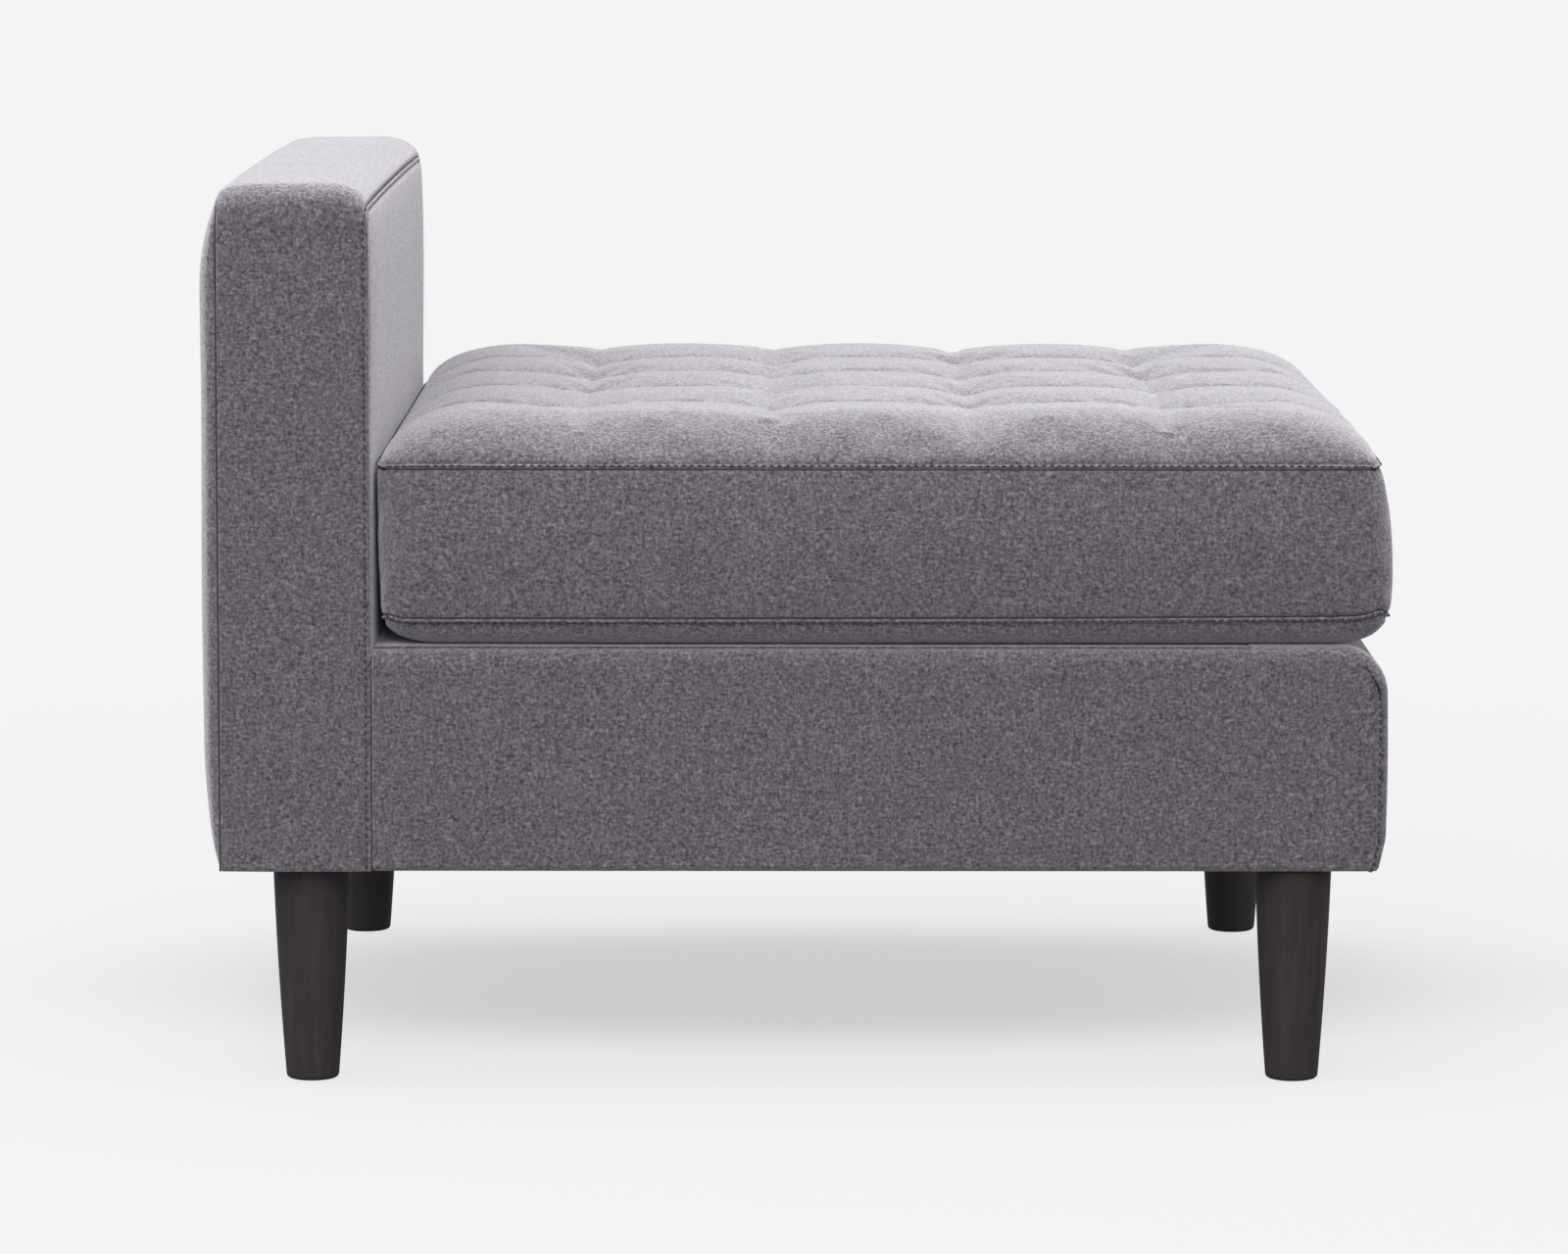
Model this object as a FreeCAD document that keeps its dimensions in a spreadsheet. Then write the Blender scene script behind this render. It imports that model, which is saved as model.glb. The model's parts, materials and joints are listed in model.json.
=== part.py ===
import FreeCAD, Part
import math
import os
import re

import Sketcher
from FreeCAD import Vector

# Armless sofa module, in millimetres. +Z is up and the floor is z = 0.
# The seat faces -Y, the back stands at +Y, and left is the sitter's left, at +X.

document = FreeCAD.newDocument("ArmlessSofa")

sizes = {
    # Outside of the upholstered body
    "halfWidth": 380,
    "halfDepth": 425,
    "bulge": 15,
    "bottomLevel": 159,
    "deckLevel": 324,
    "padding": 10,
    "skin": 2,
    # Back
    "backFront": 314.4,
    "backSeam": 652,
    "backCrown": 8,
    "backCorner": 20,
    "frontSkin": 2,
    "topFall": 62,
    "sideFall": 45,
    "footFall": 95,
    "footRadius": 330,
    "footTuck": 3,
    "footRise": 8,
    "footTuckRadius": 12,
    "seamRound": 1.8,
    # Timber frame
    "timber": 20,
    "railTop": 291,
    "postTop": 645,
    "postWidth": 32,
    "postFront": 340,
    "postBack": 400,
    "board": 3,
    "seatRailBottom": 221,
    "braceTop": 221,
    "topRailBottom": 617,
    "lowerRailBottom": 325,
    "lowerRailTop": 385,
    "lowerRailDepth": 28,
    "blockSide": 60,
    "blockHigh": 45,
    "blockFlat": 22,
    "stapleCrown": 12,
    "stapleLong": 50,
    "stapleWire": 1.3,
    "railStapleLow": 190,
    "railStapleHigh": 262,
    "topStaple": 631,
    "topStapleInset": 15,
    "lowerStapleLow": 342,
    "lowerStapleHigh": 368,
    # Elastic webbing
    "strapWidth": 60,
    "strap": 2,
    "strapLap": 16,
    "strapRise": 6,
    "strapEnd": 2,
    "backStrapEnd": 8,
    "seatPitchAcross": 120,
    "seatPitchAlong": 143,
    "seatFirstCross": -252,
    "backPitch": 166,
    # Legs and their fixings
    "legAcross": 344,
    "legAlong": 360.5,
    "legTop": 28,
    "legFoot": 19.4,
    "legEdge": 4,
    "legBelly": 0.9,
    "glide": 2,
    "glideRadius": 11,
    "boltRadius": 4,
    "boltHole": 4.2,
    "boltBottom": 119,
    "boltTop": 184,
    "insertRadius": 6,
    "insertTop": 179,
    "insertFit": 0.1,
    "dustHole": 7,
    # Deck over the webbing
    "deckCloth": 1.5,
    "deckEnd": 312,
    "bandReturn": -325,
    "noseRadius": 33,
    "seamInset": 3.5,
    "faceSwell": 2,
    "hemHigh": 24,
    "hemTuck": 5,
    "hemRadius": 60,
    # Seat cushion
    "cushionHalf": 377,
    "cushionFront": -420,
    "cushionBack": 309.6,
    "cushionCorner": 18,
    "cushionLow": 324.3,
    "cushionSeamLow": 342.6,
    "cushionSeamHigh": 453.7,
    "seamEdge": 3,
    "wrap": 5,
    "sideSwell": 2.5,
    "frontSwell": 23,
    "edgeRoll": 72,
    "puffHigh": 35,
    "creaseDrop": 5,
    "tuftDrop": 13,
    "tuftPitch": 143,
    "tuftMiddle": -52,
    "tieWidth": 5,
    "tieThick": 1.2,
    "tieGap": 0.5,
    # Zip in the cushion's rear edge
    "zipHalf": 330,
    "zipLevel": 398,
    "zipSlot": 12,
    "zipSlotFloor": 302.5,
    "zipTapeBack": 305.2,
    "zipTapeFront": 306,
    "zipTeeth": 5,
    "zipTeethFront": 306.6,
    "zipRest": -290,
    "zipSliderLong": 12,
    "zipSliderHalf": 4.5,
    "zipSliderPlate": 1.6,
    "zipNose": 5,
    "zipGap": 0.3,
}

sheet = document.addObject("Spreadsheet::Sheet", "Sizes")
for row, (alias, number) in enumerate(sizes.items(), start=1):
    sheet.set(f"A{row}", alias)
    sheet.set(f"B{row}", str(number))
    sheet.setAlias(f"B{row}", alias)
document.recompute()

parts = []


def bound(text):
    # The same expression with each size written as a cell of the sheet
    return re.sub(r"[A-Za-z]\w*", lambda word: cell(word.group()), str(text))


def cell(word):
    return f"Sizes.{word}" if word in sizes else word


def value(text):
    return float(sheet.evalExpression(bound(text)))


def bind(thing, prop, text):
    thing.setExpression(prop, bound(text))


def arcRadius(chord, rise):
    # Radius of an arc that stands a given rise above its chord
    return f"(({chord})^2 + 4 * ({rise})^2) / (8 * ({rise}))"


def circleEdge(start, end, radius):
    # Arc from start to end, counter-clockwise, its centre on the left
    chord = end - start
    left = Vector(-chord.y, chord.x, 0) / chord.Length
    reach = math.sqrt(max(radius**2 - chord.Length**2 / 4, 0))
    centre = (start + end) * 0.5 + left * reach
    first = math.atan2(start.y - centre.y, start.x - centre.x)
    last = math.atan2(end.y - centre.y, end.x - centre.x)
    return Part.ArcOfCircle(Part.Circle(centre, Vector(0, 0, 1), radius), first, last)


def newBody(label, listed=True):
    body = document.addObject("PartDesign::Body", "Body_" + label)
    body.Label = label
    if listed:
        parts.append(body)
    return body


def newSketch(body, plane, level="0"):
    # Sketch on one of the body's own origin planes, raised by level along its normal
    number = len(body.Group)
    sketch = body.newObject("Sketcher::SketchObject", f"{body.Label}_outline{number}")
    origin = [item for item in body.Origin.OriginFeatures if item.Role == plane]
    sketch.AttachmentSupport = [(origin[0], "")]
    sketch.MapMode = "FlatFace"
    if level != "0":
        bind(sketch, "AttachmentOffset.Base.z", level)
    return sketch


def addLoop(sketch, corners):
    # Closed loop, counter-clockwise. A corner is (x, y), or (x, y, radius) where
    # radius makes the edge to the next corner an arc that bulges outwards, or
    # (x, y, radius, "inward") where that arc bulges into the loop.
    first = sketch.GeometryCount
    points = [Vector(value(corner[0]), value(corner[1]), 0) for corner in corners]
    edges = []
    heads = []
    for index, corner in enumerate(corners):
        start = points[index]
        end = points[(index + 1) % len(points)]
        inward = len(corner) == 4
        heads.append(2 if inward else 1)
        if inward:
            edges.append(circleEdge(end, start, value(corner[2])))
        elif len(corner) == 3:
            edges.append(circleEdge(start, end, value(corner[2])))
        else:
            edges.append(Part.LineSegment(start, end))
    sketch.addGeometry(edges)
    rules = []
    for index in range(len(corners)):
        following = (index + 1) % len(corners)
        tail = 3 - heads[index]
        ends = (first + index, tail, first + following, heads[following])
        rules.append(Sketcher.Constraint("Coincident", *ends))
    formulas = {}
    for index, corner in enumerate(corners):
        end = (first + index, heads[index])
        formulas[len(rules)] = corner[0]
        rules.append(Sketcher.Constraint("DistanceX", *end, points[index].x))
        formulas[len(rules)] = corner[1]
        rules.append(Sketcher.Constraint("DistanceY", *end, points[index].y))
        if len(corner) > 2:
            formulas[len(rules)] = corner[2]
            rules.append(Sketcher.Constraint("Radius", first + index, value(corner[2])))
    offset = sketch.ConstraintCount
    sketch.addConstraint(rules)
    for number, formula in formulas.items():
        bind(sketch, f"Constraints[{offset + number}]", formula)


def addCircle(sketch, across, along, radius):
    centre = Vector(value(across), value(along), 0)
    index = sketch.addGeometry(Part.Circle(centre, Vector(0, 0, 1), value(radius)))
    formulas = [across, along, radius]
    numbers = [
        sketch.addConstraint(Sketcher.Constraint("DistanceX", index, 3, centre.x)),
        sketch.addConstraint(Sketcher.Constraint("DistanceY", index, 3, centre.y)),
        sketch.addConstraint(Sketcher.Constraint("Radius", index, value(radius))),
    ]
    for number, formula in zip(numbers, formulas):
        bind(sketch, f"Constraints[{number}]", formula)


def pad(body, sketch, length):
    feature = body.newObject("PartDesign::Pad", f"{body.Label}_pad{len(body.Group)}")
    feature.Profile = sketch
    bind(feature, "Length", length)
    sketch.Visibility = False
    return feature


def pocket(body, sketch, length=None, reverse=False):
    # Cuts the sketch out of the body and checks that the body lost material
    document.recompute()
    before = body.Shape.Volume
    feature = body.newObject("PartDesign::Pocket", f"{body.Label}_cut{len(body.Group)}")
    feature.Profile = sketch
    feature.Reversed = reverse
    if length is None:
        feature.Type = "ThroughAll"
        feature.SideType = "Symmetric"
    else:
        feature.Type = "Length"
        bind(feature, "Length", length)
    document.recompute()
    if body.Shape.Volume > before - 1:
        raise RuntimeError(f"{body.Label}: a cut removed nothing")
    return feature


def rectangle(lowX, highX, lowY, highY):
    return [(lowX, lowY), (highX, lowY), (highX, highY), (lowX, highY)]


def mirrored(corners):
    # The same loop on the other side of the middle, still counter-clockwise.
    # An arc's radius moves to the corner that now starts its edge.
    flipped = []
    count = len(corners)
    for index in range(count - 1, -1, -1):
        corner = (f"-({corners[index][0]})", corners[index][1])
        edge = corners[index - 1]
        flipped.append(corner + edge[2:])
    return flipped


def across(label, corners, low, high):
    # Piece with its outline in the side view, running across the sofa from low to high
    body = newBody(label)
    sketch = newSketch(body, "YZ_Plane")
    addLoop(sketch, corners)
    pad(body, sketch, f"({high}) - ({low})")
    bind(body, "Placement.Base.x", low)
    return body


def along(label, corners, front, back):
    # Piece with its outline in the front view, running from front to back
    body = newBody(label)
    sketch = newSketch(body, "XZ_Plane")
    addLoop(sketch, corners)
    pad(body, sketch, f"({back}) - ({front})")
    bind(body, "Placement.Base.y", back)
    return body


def upright(label, corners, bottom, top):
    # Piece with its outline in the plan, standing from bottom to top
    body = newBody(label)
    sketch = newSketch(body, "XY_Plane")
    addLoop(sketch, corners)
    pad(body, sketch, f"({top}) - ({bottom})")
    bind(body, "Placement.Base.z", bottom)
    return body


sides = {"left": 1, "right": -1}

# Outer faces of the timber, inside the padded covers
frameSide = "halfWidth - padding"
frameFront = "-(halfDepth - padding)"
frameBottom = "bottomLevel + skin"


def sideRange(side, near, far):
    # Low and high X of a piece that spans near to far from the middle, on one side
    if side > 0:
        return near, far
    return f"-({far})", f"-({near})"


def makeFrame():
    low = frameBottom
    frontOutline = rectangle(f"-({frameSide})", frameSide, low, "railTop")
    along("front_rail", frontOutline, frameFront, f"{frameFront} + timber")
    inner = f"{frameSide} - postWidth"
    rearOutline = rectangle(f"-({inner})", inner, low, "railTop")
    along("rear_rail", rearOutline, "postBack - timber", "postBack")
    railEnd = f"{frameSide} - timber"
    seatOutline = rectangle(f"-({railEnd})", railEnd, "seatRailBottom", "railTop")
    along("seat_back_rail", seatOutline, "postFront - timber", "postFront")
    braceOutline = rectangle("-timber / 2", "timber / 2", low, "braceTop")
    along("centre_brace", braceOutline, f"{frameFront} + timber", "postBack - timber")
    for name, side in sides.items():
        lowX, highX = sideRange(side, railEnd, frameSide)
        railOutline = rectangle(f"{frameFront} + timber", "postFront", low, "railTop")
        across(f"side_rail_{name}", railOutline, lowX, highX)
        makePost(name, side)
    topOutline = rectangle(f"-({inner})", inner, "topRailBottom", "postTop")
    along("back_top_rail", topOutline, "postFront", "postBack")
    lowerOutline = rectangle(f"-({inner})", inner, "lowerRailBottom", "lowerRailTop")
    along("back_lower_rail", lowerOutline, "postFront", "postFront + lowerRailDepth")
    for name, side in sides.items():
        makeBlocks(name, side)
    makeStaples()


def drillForInsert(body, x, y):
    # Wide bore for the threaded insert, narrower above it for the end of the bolt
    sketch = newSketch(body, "XY_Plane")
    addCircle(sketch, x, y, "insertRadius")
    pocket(body, sketch, f"insertTop - ({frameBottom})", reverse=True)
    sketch = newSketch(body, "XY_Plane")
    addCircle(sketch, x, y, "boltHole")
    pocket(body, sketch, f"boltTop + skin - ({frameBottom})", reverse=True)


def makePost(name, side):
    lowX, highX = sideRange(side, f"{frameSide} - postWidth", frameSide)
    outline = rectangle(lowX, highX, "postFront", "postBack")
    body = upright(f"back_post_{name}", outline, frameBottom, "postTop")
    drillForInsert(body, f"{side} * legAcross", "legAlong")


def makeBlocks(name, side):
    # Glued blocks in the four corners, with a flat across their inner corner
    railFace = f"{frameSide} - timber"
    front = f"{frameFront} + timber"
    outline = [
        (railFace, front),
        (railFace, f"{front} + blockSide + blockFlat / 2"),
        (f"{railFace} - blockFlat", f"{front} + blockSide + blockFlat / 2"),
        (f"{railFace} - blockSide", f"{front} + blockFlat"),
        (f"{railFace} - blockSide", front),
    ]
    rearFace = f"{frameSide} - postWidth"
    rear = "postBack - timber"
    rearOutline = [
        (rearFace, rear),
        (f"{rearFace} - blockSide", rear),
        (f"{rearFace} - blockSide", f"{rear} - blockFlat"),
        (f"{rearFace} - blockFlat", f"{rear} - blockSide"),
        (rearFace, f"{rear} - blockSide"),
    ]
    if side < 0:
        outline = mirrored(outline)
        rearOutline = mirrored(rearOutline)
    top = f"{frameBottom} + blockHigh"
    body = upright(f"corner_block_front_{name}", outline, frameBottom, top)
    drillForInsert(body, f"{side} * legAcross", "-legAlong")
    upright(f"corner_block_rear_{name}", rearOutline, frameBottom, top)


def turned(label, corners):
    # One turned solid about its own upright axis
    body = newBody(label + "_solid", listed=False)
    sketch = newSketch(body, "XZ_Plane")
    addLoop(sketch, corners)
    feature = body.newObject("PartDesign::Revolution", f"{label}_turned")
    feature.Profile = sketch
    feature.ReferenceAxis = (sketch, ["V_Axis"])
    feature.Angle = 360
    return body


def makeGroup(label, source, places):
    # Identical solids as one node: copies of the source at each placement
    document.recompute()
    group = document.addObject("Part::Feature", label)
    copies = []
    for place in places:
        copy = source.Shape.copy()
        copy.Placement = place
        copies.append(copy)
    group.Shape = Part.makeCompound(copies)
    parts.append(group)
    return group


def makeStaples():
    # Long wire staples that hold the glued butt joints, driven in flush
    half = "stapleCrown / 2"
    outline = [
        (f"-{half}", "0"),
        (f"{half}", "0"),
        (f"{half}", "stapleLong"),
        (f"{half} - stapleWire", "stapleLong"),
        (f"{half} - stapleWire", "stapleWire"),
        (f"-{half} + stapleWire", "stapleWire"),
        (f"-{half} + stapleWire", "stapleLong"),
        (f"-{half}", "stapleLong"),
    ]
    staple = newBody("frame_staple", listed=False)
    sketch = newSketch(staple, "XY_Plane")
    addLoop(sketch, outline)
    pad(staple, sketch, "stapleWire")
    places = []
    upAndDown = FreeCAD.Rotation(Vector(0, 1, 0), 90)
    reach = value(frameSide)
    railLevels = ("railStapleLow", "railStapleHigh")
    rearRail = [("postBack - timber / 2", level) for level in railLevels]
    topRail = [("postFront + topStapleInset", "topStaple"), ("postBack - topStapleInset", "topStaple")]
    lowerMiddle = "postFront + lowerRailDepth / 2"
    lowerRail = [(lowerMiddle, "lowerStapleLow"), (lowerMiddle, "lowerStapleHigh")]
    for side in sides.values():
        for level in railLevels:
            spot = Vector(side * (reach - value("timber / 2")), value(frameFront), value(level))
            places.append(FreeCAD.Placement(spot, upAndDown))
        inward = FreeCAD.Rotation(Vector(0, 0, 1), side * 90)
        for y, level in rearRail + topRail + lowerRail:
            spot = Vector(side * reach, value(y), value(level))
            places.append(FreeCAD.Placement(spot, inward))
    makeGroup("frame_staples", staple, places)


def cornerPlacements(x, y, z):
    places = []
    for sideX in (1, -1):
        for sideY in (1, -1):
            spot = Vector(sideX * value(x), sideY * value(y), value(z))
            places.append(FreeCAD.Placement(spot, FreeCAD.Rotation()))
    return places


def makeLegs():
    # Round tapered legs, a little fuller than a straight cone, with a softened foot
    waist = "(legFoot + legTop) / 2 + legBelly"
    outline = [
        ("0", "glide"),
        ("legFoot - legEdge", "glide"),
        ("legFoot", "glide + legEdge"),
        (waist, "(bottomLevel + legEdge + glide) / 2"),
        ("legTop", "bottomLevel"),
        ("boltHole", "bottomLevel"),
        ("boltHole", "boltBottom"),
        ("0", "boltBottom"),
    ]
    corners = cornerPlacements("legAcross", "legAlong", "0")
    leg = turned("leg", outline)
    makeGroup("legs_front", leg, [spot for spot in corners if spot.Base.y < 0])
    makeGroup("legs_rear", leg, [spot for spot in corners if spot.Base.y > 0])
    glideOutline = rectangle("0", "glideRadius", "0", "glide")
    makeGroup("leg_glides", turned("leg_glide", glideOutline), corners)
    boltOutline = rectangle("0", "boltRadius", "boltBottom", "boltTop")
    makeGroup("hanger_bolts", turned("hanger_bolt", boltOutline), corners)
    insertOutline = rectangle("boltHole", "insertRadius - insertFit", frameBottom, "insertTop")
    makeGroup("leg_inserts", turned("leg_insert", insertOutline), corners)


def strapOutline(start, end, crossings, halfWide, base):
    # Side view of a woven strap. crossings lists (place, layer): where another strap
    # crosses it, and 1 where this one passes over it or 0 where it passes under.
    # Both ends are folded back on themselves over the rail.
    lower = [(start, base)]
    upper = [(start, f"{base} + 2 * strap"), (f"{start} + strapLap", f"{base} + 2 * strap")]
    upper.append((f"{start} + strapLap", f"{base} + strap"))
    for place, layer in crossings:
        height = f"{base} + {layer} * strap"
        for edge in (f"{place} - {halfWide}", f"{place} + {halfWide}"):
            lower.append((edge, height))
            upper.append((edge, f"{height} + strap"))
    lower.append((end, base))
    upper.append((f"{end} - strapLap", f"{base} + strap"))
    upper.append((f"{end} - strapLap", f"{base} + 2 * strap"))
    upper.append((end, f"{base} + 2 * strap"))
    return lower + upper[::-1]


def makeWebbing():
    # Five long straps and four cross straps woven over and under each other
    half = "(strapWidth / 2 + strapRise)"
    longPlaces = [f"{step} * seatPitchAcross" for step in range(-2, 3)]
    crossPlaces = [f"(seatFirstCross + {step} * seatPitchAlong)" for step in range(4)]
    front = f"{frameFront} + strapEnd"
    for index, place in enumerate(longPlaces):
        crossings = [(spot, (index + row) % 2) for row, spot in enumerate(crossPlaces)]
        outline = strapOutline(front, "postFront - strapEnd", crossings, half, "railTop")
        low = f"{place} - strapWidth / 2"
        across(f"seat_web_long_{index + 1}", outline, low, f"{low} + strapWidth")
    reach = f"({frameSide} - strapEnd)"
    for row, spot in enumerate(crossPlaces):
        crossings = []
        for index, place in enumerate(longPlaces):
            crossings.append((f"({place})", (index + row + 1) % 2))
        outline = strapOutline(f"-{reach}", reach, crossings, half, "railTop")
        low = f"{spot} - strapWidth / 2"
        along(f"seat_web_cross_{row + 1}", outline, low, f"{low} + strapWidth")
    for index in range(4):
        low = f"{index - 1.5} * backPitch - strapWidth / 2"
        bottom = "lowerRailBottom + backStrapEnd"
        top = "postTop - backStrapEnd"
        outline = [
            ("postFront", bottom),
            ("postFront", top),
            ("postFront - 2 * strap", top),
            ("postFront - 2 * strap", f"{top} - strapLap"),
            ("postFront - strap", f"{top} - strapLap"),
            ("postFront - strap", f"{bottom} + strapLap"),
            ("postFront - 2 * strap", f"{bottom} + strapLap"),
            ("postFront - 2 * strap", bottom),
        ]
        across(f"back_web_{index + 1}", outline, low, f"{low} + strapWidth")


# The front edge of the deck rounds over at this centre
noseBack = "-(halfDepth - noseRadius)"
noseLevel = "deckLevel - noseRadius"


def makeDeck():
    frontFace = frameFront
    bottom = "railTop + 2 * strap"
    cloth = rectangle(f"-({frameSide})", frameSide, frontFace, "deckEnd")
    upright("deck_support_cloth", cloth, bottom, f"{bottom} + deckCloth")
    # Foam slab with its front edge rounded under the cover
    foamBottom = f"{bottom} + deckCloth"
    inside = "noseRadius - deckCloth"
    drop = f"({foamBottom} - ({noseLevel}))"
    foam = [
        (f"{noseBack} - sqrt(({inside})^2 - {drop}^2)", foamBottom),
        ("deckEnd", foamBottom),
        ("deckEnd", "deckLevel - deckCloth"),
        (noseBack, "deckLevel - deckCloth", inside),
    ]
    across("deck_foam", foam, f"-({frameSide})", frameSide)
    top = rectangle("-halfWidth", "halfWidth", "bandReturn", "deckEnd")
    upright("deck_cloth", top, "deckLevel - deckCloth", "deckLevel")
    for name, side in sides.items():
        lowX, highX = sideRange(side, frameSide, "halfWidth")
        across(f"base_side_panel_{name}", sidePanelOutline(), lowX, highX)
    makeFrontBand(foam[0][0], foamBottom, inside)
    makeDustCover()


def sidePanelOutline():
    # The side cover's seam is set in from the front band's edge
    front = "-(halfDepth - seamInset)"
    top = "deckLevel - deckCloth"
    return [
        (f"{front} + hemTuck - 1", "bottomLevel"),
        ("backFront", "bottomLevel"),
        ("backFront", top),
        (f"{front} + noseRadius", top, "noseRadius"),
        (front, f"{top} - noseRadius"),
        (front, "bottomLevel + hemHigh"),
    ]


def makeFrontBand(foamFront, foamBottom, inside):
    # One cover from under the front rail, up and over the rounded front edge of the
    # deck. Its ends turn round the corners and meet the side covers.
    front = "-halfDepth"
    top = "deckLevel - deckCloth"
    faceHigh = f"({noseLevel} - bottomLevel - hemHigh)"
    outline = [
        (frameFront, "bottomLevel"),
        (frameFront, foamBottom),
        (foamFront, foamBottom, inside, "inward"),
        (noseBack, top),
        ("bandReturn", top),
        ("bandReturn", "deckLevel"),
        (noseBack, "deckLevel", "noseRadius"),
        (front, noseLevel, arcRadius(faceHigh, "faceSwell")),
        (front, "bottomLevel + hemHigh", "hemRadius"),
        (f"{front} + hemTuck", "bottomLevel"),
    ]
    body = across("base_front_band", outline, "-halfWidth", "halfWidth")
    rightEnd = newSketch(body, "YZ_Plane")
    addLoop(rightEnd, sidePanelOutline())
    pocket(body, rightEnd, "padding", reverse=True)
    leftEnd = newSketch(body, "YZ_Plane", "2 * halfWidth")
    addLoop(leftEnd, sidePanelOutline())
    pocket(body, leftEnd, "padding")


def makeDustCover():
    # Thin cloth under the frame, cut square round each leg's bolt
    outline = rectangle(f"-({frameSide})", frameSide, frameFront, "postBack + board")
    body = upright("dust_cover", outline, "bottomLevel", frameBottom)
    sketch = newSketch(body, "XY_Plane")
    for sideX in (1, -1):
        for sideY in (1, -1):
            x = f"{sideX} * legAcross"
            y = f"{sideY} * legAlong"
            lowX, highX = f"{x} - dustHole", f"{x} + dustHole"
            hole = rectangle(lowX, highX, f"{y} - dustHole", f"{y} + dustHole")
            addLoop(sketch, hole)
    pocket(body, sketch)


def makeBack():
    side = f"({frameSide})"
    # Side and top cover in one strip, rounded at its ends and crowned along the top
    crest = "backSeam + backCrown"
    outline = [
        ("-halfWidth", "bottomLevel"),
        (f"-{side}", "bottomLevel"),
        (f"-{side}", "postTop"),
        (side, "postTop"),
        (side, "bottomLevel"),
        ("halfWidth", "bottomLevel"),
        ("halfWidth", f"{crest} - backCorner", "backCorner"),
        ("halfWidth - backCorner", crest),
        ("-halfWidth + backCorner", crest, "backCorner"),
        ("-halfWidth", f"{crest} - backCorner"),
    ]
    body = along("back_boxing_strip", outline, "backFront", "halfDepth")
    # What the crown leaves above the two seams is cut away
    depth = "(halfDepth - backFront)"
    shoulder = [
        (f"-{depth}", "backSeam", arcRadius(depth, "backCrown"), "inward"),
        ("0", "backSeam"),
        ("0", f"{crest} + 2"),
        (f"-{depth}", f"{crest} + 2"),
    ]
    crown = newSketch(body, "YZ_Plane")
    addLoop(crown, shoulder)
    pocket(body, crown)
    makeBackFront(side)
    makeBackRear(side)


def makeBackFront(side):
    low = "deckLevel + 0.2"
    face = rectangle("-halfWidth", "halfWidth", low, "backSeam")
    front = along("back_front_panel", face, "backFront - frontSkin", "backFront")
    document.recompute()
    addFillet(front, value("seamRound"), lambda edge: isSeamEdge(edge, value("backFront - frontSkin")))
    lining = newSketch(front, "XZ_Plane")
    liningLow = "railTop + 3 * strap"
    addLoop(lining, rectangle(f"-{side}", side, liningLow, "postTop"))
    inner = pad(front, lining, "skin")
    inner.Reversed = True
    foam = rectangle(f"-{side}", side, "railTop + 3 * strap", "postTop")
    along("back_front_foam", foam, "backFront + skin", "postFront - 2 * strap")


def isSeamEdge(edge, face):
    # Edges of the front face at the two sides and the top
    box = edge.BoundBox
    onFace = abs(box.YMin - face) < 0.01 and abs(box.YMax - face) < 0.01
    return onFace and box.ZMax > value("backSeam") - 0.1


def addFillet(body, radius, wanted):
    names = []
    for index, edge in enumerate(body.Shape.Edges, start=1):
        if wanted(edge):
            names.append(f"Edge{index}")
    base = body.Tip
    feature = body.newObject("PartDesign::Fillet", f"{body.Label}_round")
    feature.Base = (base, names)
    feature.Radius = radius
    document.recompute()
    return feature


def makeBackRear(side):
    board = rectangle(f"-{side}", side, frameBottom, "postTop")
    along("back_rear_board", board, "postBack", "postBack + board")
    # Rear cover: it swells out from its seams and falls back towards the floor
    seam = "halfDepth"
    crest = "halfDepth + bulge"
    topRoll = arcRadius("sqrt(topFall^2 + bulge^2)", "topFall / 18")
    outline = [
        (seam, "bottomLevel", "footTuckRadius"),
        (f"{seam} + footTuck", "bottomLevel + footRise", "footRadius"),
        (crest, "bottomLevel + footFall"),
        (crest, "backSeam - topFall", topRoll),
        (seam, "backSeam"),
    ]
    body = across("back_rear_panel", outline, "-halfWidth", "halfWidth")
    for sideX in (1, -1):
        rollOff(body, sideX)
    # Wadding between the cover and the board, inside the side covers
    lining = newSketch(body, "XZ_Plane", f"-({seam})")
    # The body's own X starts at its right-hand edge
    lowX = f"halfWidth - {side}"
    addLoop(lining, rectangle(lowX, f"halfWidth + {side}", "bottomLevel", "postTop"))
    pad(body, lining, f"{seam} - postBack - board")


def rollOff(body, sideX):
    # Takes the rear cover back to its seam along one upright edge. The body's own X
    # starts at its right-hand edge.
    seam = "halfDepth"
    crest = "halfDepth + bulge"
    edge = f"(halfWidth + {sideX} * halfWidth)"
    inner = f"({edge} - {sideX} * sideFall)"
    radius = arcRadius("sqrt(sideFall^2 + bulge^2)", "sideFall / 16")
    corners = [
        (inner, crest),
        (edge, seam),
        (edge, f"{crest} + 5"),
        (inner, f"{crest} + 5"),
    ]
    if sideX < 0:
        corners = [corners[1], corners[0], corners[3], corners[2]]
    corners[0] = corners[0] + (radius, "inward")
    sketch = newSketch(body, "XY_Plane")
    addLoop(sketch, corners)
    pocket(body, sketch)


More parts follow.
